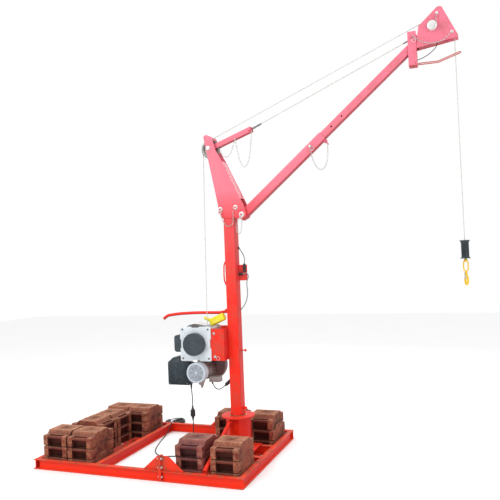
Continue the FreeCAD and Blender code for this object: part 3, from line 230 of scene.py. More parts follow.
def makeFadeAndShadeGroup():
    group, first, last = makeGroup("sunFadeAndPaintedShade", [("Vector", "NodeSocketVector", None)], [("Color", "NodeSocketColor")])
    split = put(group, "ShaderNodeSeparateXYZ")
    joined(group, first.outputs["Vector"], split.inputs[0])
    share = mathNode(group, "DIVIDE", split.outputs["Z"], fadeHeight, True)
    ramp = put(group, "ShaderNodeValToRGB")
    joined(group, share, ramp.inputs[0])
    while len(ramp.color_ramp.elements) < len(fadeStops):
        ramp.color_ramp.elements.new(0.5)
    for element, (place, colour) in zip(ramp.color_ramp.elements, fadeStops):
        element.position = place / fadeHeight
        element.color = (*colour, 1)
    geometry = put(group, "ShaderNodeNewGeometry")
    facing = put(group, "ShaderNodeSeparateXYZ")
    joined(group, geometry.outputs["Normal"], facing.inputs[0])
    # painted shade: faces turned downwards, and faces turned towards +X, are mixed towards a deep red (0.36, 0.006,
    # 0.018), darker as if they lay in shadow
    under = mapRange(group, facing.outputs["Z"], -0.15, -0.6, 0.0, 0.9)
    paintedSideShade = mapRange(group, facing.outputs["X"], 0.5, 0.95, 0.0, 0.42)
    paintedShade = mathNode(group, "MAXIMUM", under, paintedSideShade, True)
    joined(group, mixColour(group, paintedShade, ramp.outputs["Color"], (0.36, 0.006, 0.018, 1)), last.inputs["Color"])
    return group


# height in metres above the floor, and the paint's colour there: it is bleached towards the head
fadeStops = [(0.0, (0.90, 0.030, 0.005)), (0.35, (0.90, 0.024, 0.008)), (0.9, (0.92, 0.022, 0.008)),
             (1.5, (0.90, 0.036, 0.026)), (2.1, (0.85, 0.085, 0.100)), (2.35, (0.86, 0.205, 0.270)),
             (3.7, (0.84, 0.200, 0.290))]
fadeHeight = 4.0
wornAndShadeGroup = makeWornAndShadeGroup()
fadeAndShadeGroup = makeFadeAndShadeGroup()

looks = {
    "redPaint": {"fadeAndShade": True, "second": (0.45, 0.010, 0.006), "worn": (0.30, 0.11, 0.075), "dirt": (0.80, 0.30, 0.28),
                 "scale": 3.0, "mottle": 0.08, "wear": 0.40, "dust": 0.08, "rough": 0.44, "bump": 0.08, "coat": 0.06,
                 "shine": 0.14},
    "redFrame": {"fadeAndShade": True, "second": (0.40, 0.010, 0.004), "worn": (0.22, 0.085, 0.045), "dirt": (0.86, 0.30, 0.16),
                 "scale": 5.0, "mottle": 0.22, "wear": 0.85, "dust": 0.22, "rough": 0.50, "bump": 0.25, "coat": 0.06,
                 "shine": 0.2},
    "rustIron": {"base": (0.245, 0.050, 0.032), "second": (0.100, 0.024, 0.018), "worn": (0.54, 0.26, 0.14),
                 "dirt": (0.60, 0.31, 0.20), "scale": 7.0, "mottle": 0.85, "wear": 0.95, "dust": 0.75, "rough": 0.74,
                 "bump": 0.55, "shine": 0.15},
    "wineIron": {"base": (0.215, 0.034, 0.032), "second": (0.095, 0.018, 0.020), "worn": (0.48, 0.22, 0.14),
                 "dirt": (0.50, 0.26, 0.22), "scale": 8.0, "mottle": 0.85, "wear": 0.9, "dust": 0.55, "rough": 0.62,
                 "bump": 0.5},
    "zinc": {"base": (0.62, 0.62, 0.60), "second": (0.44, 0.44, 0.43), "worn": (0.30, 0.22, 0.16),
             "dirt": (0.40, 0.36, 0.32), "scale": 30.0, "mottle": 0.6, "wear": 0.2, "dust": 0.2, "rough": 0.36,
             "bump": 0.08, "metal": 0.75},
    "brightWasher": {"base": (0.82, 0.82, 0.80), "second": (0.66, 0.66, 0.66), "worn": (0.40, 0.36, 0.32),
                     "dirt": (0.5, 0.45, 0.4), "scale": 30.0, "mottle": 0.5, "wear": 0.15, "dust": 0.1, "rough": 0.32,
                     "bump": 0.05, "metal": 0.35},
    "wireRope": {"base": (0.68, 0.73, 0.66), "second": (0.46, 0.50, 0.45), "worn": (0.30, 0.28, 0.24),
                 "dirt": (0.5, 0.5, 0.46), "scale": 60.0, "mottle": 0.8, "wear": 0.1, "dust": 0.1, "rough": 0.45,
                 "bump": 0.5, "metal": 0.15, "strand": True},
    "stayEnd": {"base": (0.22, 0.22, 0.21), "second": (0.13, 0.13, 0.13), "worn": (0.4, 0.38, 0.36),
                "dirt": (0.2, 0.18, 0.16), "scale": 40.0, "mottle": 0.7, "wear": 0.3, "dust": 0.2, "rough": 0.4,
                "bump": 0.1, "metal": 0.5},
    "guardSteel": {"base": (0.84, 0.85, 0.86), "second": (0.68, 0.69, 0.71), "worn": (0.50, 0.46, 0.42),
                   "dirt": (0.55, 0.5, 0.45), "scale": 20.0, "mottle": 0.5, "wear": 0.3, "dust": 0.15, "rough": 0.34,
                   "bump": 0.08, "metal": 0.1},
    "castPlate": {"base": (0.74, 0.80, 0.84), "second": (0.52, 0.58, 0.62), "worn": (0.86, 0.88, 0.90),
                  "dirt": (0.50, 0.47, 0.44), "scale": 14.0, "mottle": 0.60, "wear": 0.35, "dust": 0.2, "rough": 0.40,
                  "bump": 0.15, "metal": 0.15},
    "drumSteel": {"base": (0.30, 0.29, 0.27), "second": (0.18, 0.17, 0.16), "worn": (0.45, 0.44, 0.42),
                  "dirt": (0.10, 0.08, 0.06), "scale": 18.0, "mottle": 0.7, "wear": 0.4, "dust": 0.3, "rough": 0.42,
                  "bump": 0.1, "metal": 0.7},
    "blackCover": {"base": (0.052, 0.068, 0.080), "second": (0.034, 0.045, 0.055), "worn": (0.16, 0.17, 0.18),
                   "dirt": (0.22, 0.21, 0.20), "scale": 16.0, "mottle": 0.6, "wear": 0.4, "dust": 0.35, "rough": 0.50,
                   "bump": 0.18},
    "slateBox": {"base": (0.030, 0.046, 0.058), "second": (0.020, 0.030, 0.038), "worn": (0.12, 0.13, 0.14),
                 "dirt": (0.20, 0.19, 0.18), "scale": 12.0, "mottle": 0.6, "wear": 0.4, "dust": 0.3, "rough": 0.46,
                 "bump": 0.2, "shine": 0.18},
    "darkLead": {"base": (0.020, 0.020, 0.022), "second": (0.034, 0.034, 0.036), "worn": (0.07, 0.07, 0.07),
                 "dirt": (0.16, 0.15, 0.14), "scale": 40.0, "mottle": 0.6, "wear": 0.2, "dust": 0.3, "rough": 0.48,
                 "bump": 0.08},
    "greyLead": {"base": (0.22, 0.25, 0.27), "second": (0.15, 0.17, 0.19), "worn": (0.3, 0.3, 0.3),
                 "dirt": (0.26, 0.24, 0.22), "scale": 40.0, "mottle": 0.6, "wear": 0.2, "dust": 0.3, "rough": 0.46,
                 "bump": 0.08},
    "motorPaint": {"base": (0.27, 0.245, 0.24), "second": (0.36, 0.24, 0.22), "worn": (0.42, 0.40, 0.38),
                   "dirt": (0.34, 0.30, 0.26), "scale": 12.0, "mottle": 0.6, "wear": 0.5, "dust": 0.45, "rough": 0.36,
                   "bump": 0.12, "metal": 0.45},
    "gearPaint": {"base": (0.115, 0.100, 0.100), "second": (0.22, 0.11, 0.095), "worn": (0.33, 0.30, 0.28),
                  "dirt": (0.34, 0.30, 0.26), "scale": 9.0, "mottle": 0.7, "wear": 0.5, "dust": 0.5, "rough": 0.5,
                  "bump": 0.2},
    "fanShell": {"base": (0.55, 0.62, 0.70), "second": (0.40, 0.46, 0.53), "worn": (0.66, 0.68, 0.70),
                 "dirt": (0.32, 0.28, 0.25), "scale": 20.0, "mottle": 0.6, "wear": 0.4, "dust": 0.3, "rough": 0.42,
                 "bump": 0.1},
    "yellowCase": {"base": (0.84, 0.76, 0.030), "second": (0.70, 0.58, 0.020), "worn": (0.46, 0.40, 0.10),
                   "dirt": (0.60, 0.52, 0.20), "scale": 18.0, "mottle": 0.4, "wear": 0.3, "dust": 0.25, "rough": 0.38,
                   "bump": 0.12, "coat": 0.15},
    "redButton": {"base": (0.56, 0.022, 0.014), "second": (0.42, 0.016, 0.010), "worn": (0.3, 0.1, 0.08),
                  "dirt": (0.3, 0.2, 0.18), "scale": 60.0, "mottle": 0.4, "wear": 0.2, "dust": 0.2, "rough": 0.34,
                  "bump": 0.05, "coat": 0.2},
    "hookYellow": {"base": (0.88, 0.58, 0.012), "second": (0.66, 0.34, 0.010), "worn": (0.22, 0.16, 0.09),
                   "dirt": (0.3, 0.22, 0.12), "scale": 35.0, "mottle": 0.5, "wear": 0.6, "dust": 0.2, "rough": 0.40,
                   "bump": 0.15, "coat": 0.1},
    "darkSpool": {"base": (0.040, 0.052, 0.058), "second": (0.020, 0.026, 0.032), "worn": (0.22, 0.22, 0.24),
                  "dirt": (0.2, 0.19, 0.18), "scale": 25.0, "mottle": 0.6, "wear": 0.6, "dust": 0.2, "rough": 0.26,
                  "bump": 0.08, "metal": 0.35},
    "bronze": {"base": (0.52, 0.35, 0.16), "second": (0.34, 0.22, 0.11), "worn": (0.6, 0.45, 0.25),
               "dirt": (0.12, 0.09, 0.06), "scale": 25.0, "mottle": 0.6, "wear": 0.3, "dust": 0.3, "rough": 0.36,
               "bump": 0.08, "metal": 0.85},
    "forkWire": {"base": (0.56, 0.075, 0.060), "second": (0.44, 0.13, 0.10), "worn": (0.58, 0.46, 0.42),
                 "dirt": (0.4, 0.3, 0.28), "scale": 60.0, "mottle": 0.7, "wear": 0.8, "dust": 0.2, "rough": 0.4,
                 "bump": 0.1},
}
finishes = {}


def makeFinish(name):
    look = looks[name]
    material = bpy.data.materials.new(name)
    material.use_nodes = True
    tree = material.node_tree
    shader = tree.nodes["Principled BSDF"]
    place = put(tree, "ShaderNodeTexCoord")
    vector = place.outputs["Object"]
    worn = put(tree, "ShaderNodeGroup")
    worn.node_tree = wornAndShadeGroup
    joined(tree, vector, worn.inputs["Vector"])
    # this group gives the paint's bleaching with height, and also painted shade on faces turned down or towards +X
    if look.get("fadeAndShade"):
        fadeAndShade = put(tree, "ShaderNodeGroup")
        fadeAndShade.node_tree = fadeAndShadeGroup
        joined(tree, vector, fadeAndShade.inputs["Vector"])
        joined(tree, fadeAndShade.outputs["Color"], worn.inputs["Base"])
        shade = mixColour(tree, mapRange(tree, noiseNode(tree, vector, 2.0), 0.2, 0.8, 0.2, 0.5),
                          fadeAndShade.outputs["Color"], (*look["second"], 1))
        joined(tree, shade, worn.inputs["Second"])
    else:
        worn.inputs["Base"].default_value = (*look["base"], 1)
        worn.inputs["Second"].default_value = (*look["second"], 1)
    worn.inputs["Worn"].default_value = (*look["worn"], 1)
    worn.inputs["Dirt"].default_value = (*look["dirt"], 1)
    for key in ("scale", "mottle", "wear", "dust", "rough"):
        worn.inputs[key.capitalize()].default_value = look[key]
    joined(tree, worn.outputs["Color"], shader.inputs["Base Color"])
    joined(tree, worn.outputs["Roughness"], shader.inputs["Roughness"])
    height = worn.outputs["Height"]
    if look.get("strand"):
        wave = put(tree, "ShaderNodeTexWave", wave_type="BANDS", bands_direction="DIAGONAL")
        joined(tree, vector, wave.inputs["Vector"])
        wave.inputs["Scale"].default_value = 90.0
        wave.inputs["Distortion"].default_value = 0.6
        height = mathNode(tree, "ADD", height, wave.outputs["Fac"])
    bump = put(tree, "ShaderNodeBump")
    bump.inputs["Strength"].default_value = look["bump"]
    bump.inputs["Distance"].default_value = 0.002
    joined(tree, height, bump.inputs["Height"])
    joined(tree, bump.outputs["Normal"], shader.inputs["Normal"])
    shader.inputs["Metallic"].default_value = look.get("metal", 0.0)
    shader.inputs["Specular IOR Level"].default_value = look.get("shine", 0.3)
    shader.inputs["Coat Weight"].default_value = look.get("coat", 0.0)
    shader.inputs["Coat Roughness"].default_value = 0.22
    finishes[name] = material


# making pieces: distances in metres, angles in degrees
making = {"mergeGap": 0.00002, "flatAngle": 1.0, "edgeAngle": 28, "sharpAngle": 35, "turnSteps": 24}


def finishPiece(name, bm, body, look, stands=()):
    mesh = bpy.data.meshes.new(name)
    bm.normal_update()
    bm.to_mesh(mesh)
    bm.free()
    piece = bpy.data.objects.new(name, mesh)
    scene.collection.objects.link(piece)
    mesh.materials.append(finishes[look])
    mesh.shade_smooth()
    mesh.set_sharp_from_angle(angle=math.radians(making["sharpAngle"]))
    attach(piece, body)
    if stands:
        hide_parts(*stands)
    return piece


def softened(node, look, width, segments):
    bm = bmesh.new()
    bm.from_mesh(nodes[node].data)
    bmesh.ops.remove_doubles(bm, verts=bm.verts, dist=making["mergeGap"])
    bmesh.ops.dissolve_limit(bm, angle_limit=math.radians(making["flatAngle"]), verts=bm.verts,
                              edges=bm.edges)
    if width > 0:
        least = math.radians(making["edgeAngle"])
        sharp = [e for e in bm.edges if len(e.link_faces) == 2 and e.calc_face_angle(0) > least
                 and e.calc_length() > width]
        bmesh.ops.bevel(bm, geom=sharp, offset=width, offset_type="OFFSET", affect="EDGES", segments=segments,
                        profile=0.5, material=-1, clamp_overlap=True)
    bmesh.ops.triangulate(bm, faces=[f for f in bm.faces if len(f.verts) > 4])
    for vert in bm.verts:
        vert.co.z = max(vert.co.z, 0.0)  # nothing dips under the floor
    return finishPiece(node + "Finished", bm, bodyOf[node], look, (node,))


def turnedPiece(name, profile, base, axis, body, look):
    bm = bmesh.new()
    verts = [bm.verts.new((radius, 0, along)) for radius, along in profile]
    edges = [bm.edges.new(pair) for pair in zip(verts, verts[1:])]
    bmesh.ops.spin(bm, geom=verts + edges, cent=(0, 0, 0), axis=(0, 0, 1), angle=2 * math.pi,
                   steps=making["turnSteps"], use_merge=True)
    bmesh.ops.remove_doubles(bm, verts=bm.verts, dist=making["mergeGap"])
    bmesh.ops.recalc_face_normals(bm, faces=bm.faces)
    turn = Vector(axis).to_track_quat("Z", "Y").to_matrix().to_4x4()
    bmesh.ops.transform(bm, matrix=Matrix.Translation(base) @ turn, verts=bm.verts)
    return finishPiece(name, bm, body, look)


def routeCurve(name, points, diameter, look=None, resolution=6):
    data = bpy.data.curves.new(name, "CURVE")
    data.dimensions = "3D"
    spline = data.splines.new("NURBS")
    spline.points.add(len(points) - 1)
    for point, place in zip(spline.points, points):
        point.co = (*place, 1)
    spline.order_u = 3
    spline.use_endpoint_u = True
    spline.resolution_u = resolution
    data.bevel_depth = diameter / 2
    data.bevel_resolution = 3
    data.use_fill_caps = True
    piece = bpy.data.objects.new(name, data)
    scene.collection.objects.link(piece)
    if look:
        data.materials.append(finishes[look])
    return piece


def heldLead(name, points, diameter, body, look, stands, blended=None):
    curve = routeCurve(name + "Route", points, diameter)
    mesh = bpy.data.meshes.new_from_object(curve)
    bpy.data.objects.remove(curve)
    mesh.name = name
    mesh.materials.clear()
    mesh.materials.append(finishes[look])
    mesh.shade_smooth()
    piece = bpy.data.objects.new(name, mesh)
    scene.collection.objects.link(piece)
    if blended:
        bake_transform(piece)
    else:
        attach(piece, body)
    if stands:
        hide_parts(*stands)
    return piece


def reliefPiece(name, base, axis, body, wide, narrow, length):
    profile = [(0.0, 0.0), (wide, 0.0), (wide, length * 0.12)]
    for i in range(5):
        at = length * (0.14 + 0.16 * i)
        radius = wide + (narrow - wide) * (0.14 + 0.16 * i)
        profile += [(radius, at), (radius, at + length * 0.08), (radius - 0.0009, at + length * 0.09),
                    (radius - 0.0009, at + length * 0.14)]
    profile += [(narrow, length), (0.0, length)]
    return turnedPiece(name, profile, base, axis, body, "darkLead")


def chainPiece(name, points, body, link):
    curve = routeCurve(name + "Route", points, 0.0)
    route = bpy.data.meshes.new_from_object(curve)
    bpy.data.objects.remove(curve)
    line = [v.co.copy() for v in route.vertices]
    bpy.data.meshes.remove(route)
    long, half, wire = link
    bm = bmesh.new()
    travelled = 0.0
    due = long * 0.5
    count = 0
    for a, b in zip(line, line[1:]):
        step = (b - a).length
        while due <= travelled + step and step > 0:
            centre = a.lerp(b, (due - travelled) / step)
            heading = (b - a).normalized()
            turn = heading.to_track_quat("X", "Z").to_matrix().to_4x4()
            roll = Matrix.Rotation(math.radians(45 + 90 * (count % 2)), 4, "X")
            addLink(bm, Matrix.Translation(centre) @ turn @ roll, long, half, wire)
            due += long * 1.42
            count += 1
        travelled += step
    return finishPiece(name, bm, body, "zinc")


def addLink(bm, matrix, long, half, wire):
    straight = long - half
    ring = []
    for i in range(10):
        a = 2 * math.pi * i / 10
        x = half * math.cos(a) + (straight if math.cos(a) > 0.01 else -straight if math.cos(a) < -0.01 else 0)
        ring.append(Vector((x, half * math.sin(a), 0)))
    rows = []
    for place in ring:
        out = place.normalized()
        made = bmesh.ops.create_circle(bm, segments=5, radius=wire)["verts"]
        side = out.cross(Vector((0, 0, 1)))
        turn = Matrix((out, Vector((0, 0, 1)), side)).transposed().to_4x4()
        bmesh.ops.transform(bm, matrix=matrix @ Matrix.Translation(place) @ turn, verts=made)
        rows.append(made)
    for first, second in zip(rows, rows[1:] + rows[:1]):
        for i in range(5):
            bm.faces.new((first[i], first[(i + 1) % 5], second[(i + 1) % 5], second[i]))


def screwHeads(name, spots, axis, radius, body, look="zinc"):
    bm = bmesh.new()
    turn = Vector(axis).to_track_quat("Z", "Y").to_matrix().to_4x4()
    for spot in spots:
        for sides, size, low, high in ((20, radius * 1.5, 0.0, radius * 0.28),
                                       (6, radius, radius * 0.28, radius * 0.95)):
            made = bmesh.ops.create_cone(bm, cap_ends=True, segments=sides, radius1=size, radius2=size * 0.94,
                                         depth=high - low)["verts"]
            lift = Matrix.Translation((0, 0, (low + high) / 2))
            bmesh.ops.transform(bm, matrix=Matrix.Translation(spot) @ turn @ lift, verts=made)
    return finishPiece(name, bm, body, look)


def weldBead(name, points, body, radius=0.0028, look="redPaint"):
    bm = bmesh.new()
    for a, b in zip(points, points[1:]):
        a = Vector(a)
        b = Vector(b)
        count = max(2, int((b - a).length / (radius * 2.4)))
        for i in range(count):
            made = bmesh.ops.create_icosphere(bm, subdivisions=1, radius=radius)["verts"]
            stretch = Matrix.Diagonal((1.25, 1.25, 1.0, 1.0))
            bmesh.ops.transform(bm, matrix=Matrix.Translation(a.lerp(b, (i + 0.5) / count)) @ stretch, verts=made)
    return finishPiece(name, bm, body, look)


# mains lead: from the connector under the winch, across the floor and over the rear beam to its coil
supplyLead = {"diameter": 0.009, "exit": (-0.370, -0.140, 0.3516), "coilCentre": (-1.090, 0.960),
              "coilRadii": (0.0655, 0.0385), "turnsInLayer": 4, "pointsInTurn": 14, "layerRise": 0.0090}


def coilPoints():
    centre = supplyLead["coilCentre"]
    outer, inner = supplyLead["coilRadii"]
    turns = supplyLead["turnsInLayer"]
    each = supplyLead["pointsInTurn"]
    points = []
    start = math.radians(-62)
    total = turns * each
    for layer in range(3):
        for i in range(total):
            share = i / total
            radius = outer + (inner - outer) * (share if layer % 2 == 0 else 1 - share)
            angle = start + 2 * math.pi * (layer * turns + i / each)
            lift = 0.0046 + supplyLead["layerRise"] * layer
            points.append((centre[0] + radius * math.cos(angle), centre[1] + radius * math.sin(angle), lift))
    return points


def makeSupplyLead():
    tail = [(-0.370, -0.140, 0.3516), (-0.370, -0.140, 0.300), (-0.372, -0.138, 0.235), (-0.378, -0.134, 0.165),
            (-0.392, -0.128, 0.098), (-0.424, -0.122, 0.042), (-0.478, -0.112, 0.008), (-0.545, -0.092, 0.0046),
            (-0.612, -0.102, 0.0046), (-0.672, -0.128, 0.0046), (-0.738, -0.112, 0.0046), (-0.800, -0.062, 0.0046),
            (-0.846, 0.008, 0.0046), (-0.880, 0.088, 0.0046), (-0.908, 0.178, 0.0046), (-0.938, 0.270, 0.0046),
            (-0.962, 0.362, 0.0046), (-0.980, 0.452, 0.008), (-0.990, 0.530, 0.034), (-0.994, 0.590, 0.076),
            (-0.997, 0.628, 0.104), (-1.000, 0.682, 0.104), (-1.003, 0.720, 0.072), (-1.008, 0.770, 0.026),
            (-1.016, 0.826, 0.0048), (-1.034, 0.868, 0.0046)]
    coil = coilPoints()
    leave = [(-1.052, 0.946, 0.027), (-1.046, 0.974, 0.031), (-1.058, 1.006, 0.032), (-1.092, 1.0235, 0.0315),
             (-1.130, 1.0235, 0.030), (-1.166, 1.0205, 0.026), (-1.192, 1.006, 0.021), (-1.198, 0.984, 0.020),
             (-1.198, 0.960, 0.020)]
    points = tail + coil + leave
    piece = routeCurve("supplyLead", points, supplyLead["diameter"], "darkLead", 4)
    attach(piece, "base")
    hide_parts("supply_tail", "supply_coil")
    length = splineLength(piece)
    relief = reliefPiece("supplyPlugRelief", (-1.198, 0.9405, 0.020), (0, 1, 0), "base", 0.0115, 0.0058, 0.032)
    plug = softened("supply_plug", "blackCover", 0.0025, 3)
    print("mains lead", round(length, 3), "m")


def splineLength(piece):
    bare = piece.copy()
    bare.data = piece.data.copy()
    bare.data.bevel_depth = 0
    scene.collection.objects.link(bare)
    mesh = bpy.data.meshes.new_from_object(bare)
    line = [v.co.copy() for v in mesh.vertices]
    bpy.data.objects.remove(bare)
    return sum((b - a).length for a, b in zip(line, line[1:]))


def makeHeldLeads():
    heldLead("supplyDrop", [(-0.390, -0.112, 0.655), (-0.388, -0.114, 0.610), (-0.376, -0.128, 0.560),
                            (-0.370, -0.138, 0.505), (-0.370, -0.140, 0.4704)], 0.009, "mast", "darkLead",
             ("supply_drop",))
    heldLead("cableUpper", [(0.054, 0.030, 1.838), (0.072, 0.030, 1.812), (0.098, 0.028, 1.772),
                            (0.112, 0.018, 1.730), (0.110, 0.006, 1.692)], 0.008, "mast", "greyLead",
             ("cable_upper",))
    heldLead("cableLower", [(0.090, 0.006, 1.604), (0.116, 0.004, 1.616), (0.142, 0.002, 1.604), (0.146, 0, 1.572),
                            (0.130, 0, 1.546), (0.128, 0.002, 1.500), (0.132, 0.004, 1.440), (0.122, 0.008, 1.380),
                            (0.092, 0.012, 1.326), (0.054, 0.016, 1.288)], 0.008, "mast", "greyLead",
             ("cable_lower",))
    heldLead("motorLead", [(-0.226, -0.020, 0.668), (-0.222, -0.020, 0.640), (-0.200, -0.018, 0.606),
                           (-0.170, -0.016, 0.594), (-0.139, -0.014, 0.607), (-0.111, -0.012, 0.629)], 0.008, "mast",
             "darkLead", ("motor_lead",))
    heldLead("limitLead", [(1.800, -0.024, 3.3445), (1.798, -0.024, 3.326), (1.776, -0.024, 3.298),
                           (1.736, -0.024, 3.268), (1.688, -0.023, 3.244), (1.644, -0.022, 3.234)], 0.006,
             "boom_inner", "darkLead", ("limit_lead",))
    for name, base, axis, wide, length in (("supplyRelief", (-0.389, -0.113, 0.654), (0, 0, -1), 0.0095, 0.040),
                                           ("cableUpperRelief", (0.051, 0.030, 1.842), (0.5, 0, -0.9), 0.008, 0.022),
                                           ("motorRelief", (-0.226, -0.020, 0.669), (0, 0, -1), 0.009, 0.026)):
        reliefPiece(name, base, axis, "mast", wide, wide * 0.58, length)


# hoist rope and stay
hoistRope = {"diameter": 0.006, "mastSheave": (-0.164, 2.727), "boomSheave": (1.769, 3.477), "tip": (1.911, 3.410),
             "pitch": 0.076, "tipPitch": 0.017, "joinAt": 0.30}


def roundSheave(centre, radius, fromAngle, toAngle, steps=9):
    grown = radius / math.cos(math.radians((fromAngle - toAngle) / (steps - 1) / 2)) ** 0.5
    points = []
    for i in range(steps):
        a = math.radians(fromAngle + (toAngle - fromAngle) * i / (steps - 1))
        points.append((centre[0] + grown * math.cos(a), 0.0, centre[1] + grown * math.sin(a)))
    return points


def makeRopes():
    mastX, mastZ = hoistRope["mastSheave"]
    boomX, boomZ = hoistRope["boomSheave"]
    tipX, tipZ = hoistRope["tip"]
    rise = math.degrees(math.atan2(boomZ - mastZ, boomX - mastX))
    pitch = hoistRope["pitch"]
    tipPitch = hoistRope["tipPitch"]
    span = Vector((math.cos(math.radians(rise)), 0, math.sin(math.radians(rise))))
    leave = Vector((mastX, 0, mastZ)) + Vector((-span.z, 0, span.x)) * pitch
    join = leave + span * hoistRope["joinAt"]
    ropeX = mastX - pitch
    wide = hoistRope["diameter"]
    riser = [(ropeX, -0.060, 1.012), (ropeX, -0.052, 1.25), (ropeX, -0.012, 2.35), (ropeX, 0, 2.60), (ropeX, 0, 2.70)]
    riser += roundSheave((mastX, mastZ), pitch, 180, rise + 90)
    riser.append(tuple(leave + span * 0.004))
    heldLead("ropeRiser", riser, wide, "mast", "wireRope", ("rope_riser",))
    first = [leave + span * (0.004 + (hoistRope["joinAt"] - 0.004) * i / 24) for i in range(25)]
    heldLead("ropeSpanFirst", [tuple(p) for p in first], wide, None, "wireRope", ("rope_span",),
             ("mast", "boom", tuple(leave), tuple(join)))
    over = Vector((boomX, 0, boomZ)) + Vector((-span.z, 0, span.x)) * pitch
    second = [join.lerp(over, i / 60) for i in range(60)]
    distance = math.hypot(tipX - boomX, tipZ - boomZ)
    lean = math.degrees(math.atan2(tipZ - boomZ, tipX - boomX) - math.asin((pitch - tipPitch) / distance))
    second = [tuple(p) for p in second] + roundSheave((boomX, boomZ), pitch, rise + 90, lean + 90)
    second += roundSheave((tipX, tipZ), tipPitch, lean + 90, 0, 6)
    heldLead("ropeSpanSecond", second, wide, None, "wireRope", (),
             ("boom", "boom_inner", tuple(join), tuple(over)))
    fallX = tipX + tipPitch
    top = tipZ - 0.001
    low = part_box("rope_fall")[0][2]
    fall = [(fallX, 0, top + (low - top) * i / 60) for i in range(61)]
    heldLead("ropeFall", fall, wide, None, "wireRope", ("rope_fall",),
             ("hook_line", "load_weight", (fallX, 0, top), (fallX, 0, low)))
    makeStay()
    makeDrumTurns()


def makeStay():
    linkEnd = Vector((0.217, 0, 2.856))
    anchor = Vector((1.612, 0, 3.418))
    way = (anchor - linkEnd).normalized()
    first = linkEnd + way * 0.024
    last = anchor - way * 0.016
    clevisEnd = first + way * 0.090
    eyeStart = last - way * 0.060
    line = [clevisEnd.lerp(eyeStart, i / 50) for i in range(51)]
    heldLead("stayRope", [tuple(p) for p in line], 0.007, None, "wireRope", ("stay_rope",),
             ("boom", "boom_inner", tuple(clevisEnd), tuple(eyeStart)))
    fitting = [(0.0, 0.0), (0.009, 0.0), (0.009, 0.030), (0.0075, 0.034), (0.0075, 0.044), (0.009, 0.048),
               (0.009, 0.074), (0.0055, 0.088), (0.0055, 0.092), (0.0, 0.092)]
    turnedPiece("stayClevis", fitting, first, way, "boom", "stayEnd")
    eye = [(0.0, 0.0), (0.0045, 0.0), (0.0062, 0.008), (0.0062, 0.046), (0.007, 0.048), (0.007, 0.060), (0.0, 0.060)]
    turnedPiece("stayEye", eye, eyeStart, way, "boom_inner", "stayEnd")


def makeDrumTurns():
    bm = bmesh.new()
    count = 17
    low = -0.0575
    for layer in range(count):
        y = low + 0.0062 * layer
        profile = bmesh.ops.create_circle(bm, segments=8, radius=0.003)["verts"]
        bmesh.ops.transform(bm, matrix=Matrix.Translation((-0.240, y, 1.012)), verts=profile)
        edges = list({e for v in profile for e in v.link_edges})
        bmesh.ops.spin(bm, geom=profile + edges, cent=(-0.316, y, 1.012), axis=(0, 1, 0), angle=2 * math.pi, steps=40,
                       use_merge=True)
    bmesh.ops.remove_doubles(bm, verts=bm.verts, dist=making["mergeGap"])
    bmesh.ops.recalc_face_normals(bm, faces=bm.faces)
    finishPiece("ropeTurns", bm, "drum", "wireRope")


# carried-over steelwork, its edges softened
steelwork = {
    "long_beams": ("redFrame", 0.0012), "side_beams": ("redFrame", 0.0012), "foot_beams": ("redFrame", 0.0012),
    "splice_plates": ("redFrame", 0.0015), "tray_rails": ("redFrame", 0.0008), "foot_socket": ("redPaint", 0.0015),
    "foot_braces": ("redPaint", 0.0008), "mast_tube": ("redPaint", 0.0006), "mast_spindle": ("redPaint", 0.0012),
    "mast_lugs": ("redPaint", 0.0008), "winch_bracket": ("redPaint", 0.0010), "slewing_handle": ("redPaint", 0.0008),
    "mast_head": ("redPaint", 0.0010), "link_arm": ("redPaint", 0.0010), "boom_tube": ("redPaint", 0.0014),
    "inner_tube": ("redPaint", 0.0014), "boom_head": ("redPaint", 0.0010), "limit_bracket": ("redPaint", 0.0010),
    "foot_bush": ("bronze", 0.0010), "splice_bolts": ("zinc", 0.0005), "head_pins": ("brightWasher", 0.0010),
    "bracket_pins": ("zinc", 0.0005), "boom_head_pins": ("brightWasher", 0.0010), "lock_pin": ("zinc", 0.0005),
    "trip_fork": ("forkWire", 0.0), "hook_latch": ("zinc", 0.0004), "drum_guard": ("guardSteel", 0.0006),
    "winch_plates": ("castPlate", 0.0016), "rope_drum": ("drumSteel", 0.0010), "winch_covers": ("blackCover", 0.0015),
    "control_box": ("slateBox", 0.0020), "motor": ("motorPaint", 0.0006), "fan_cover": ("fanShell", 0.0005),
    "motor_fan": ("blackCover", 0.0005), "gear_case": ("gearPaint", 0.0040), "mast_connectors": ("darkLead", 0.0012),
    "inline_connector": ("darkLead", 0.0015), "pendant_body": ("yellowCase", 0.0006),
    "pendant_rocker": ("blackCover", 0.0012), "pendant_stop": ("redButton", 0.0015),
    "mast_sheave": ("drumSteel", 0.0008), "boom_sheave": ("drumSteel", 0.0008),
    "hook_weight": ("darkSpool", 0.0015), "hook": ("hookYellow", 0.0010)}


# painted shade: counts the rays from each vertex that hit the same piece nearby, and stores a darker value where more
# are blocked
def addPaintedCreviceShade(piece):
    mesh = piece.data
    tree = BVHTree.FromPolygons([v.co for v in mesh.vertices], [list(p.vertices) for p in mesh.polygons])
    around = []
    for i in range(paintedCreviceShade["rays"]):
        out = 1 - paintedCreviceShade["spread"] * (i + 0.5) / paintedCreviceShade["rays"]
        flat = math.sqrt(1 - out * out)
        around.append(Vector((flat * math.cos(paintedCreviceShade["turn"] * i), flat * math.sin(paintedCreviceShade["turn"] * i), out)))
    values = []
    for vert in mesh.vertices:
        turn = vert.normal.to_track_quat("Z", "Y")
        start = vert.co + vert.normal * paintedCreviceShade["lift"]
        hits = sum(1 for way in around if tree.ray_cast(start, turn @ way, paintedCreviceShade["reach"])[0] is not None)
        values.append(min(paintedCreviceShade["most"], paintedCreviceShade["gain"] * hits / paintedCreviceShade["rays"]))
    mesh.attributes.new("paintedCreviceShade", "FLOAT", "POINT").data.foreach_set("value", values)


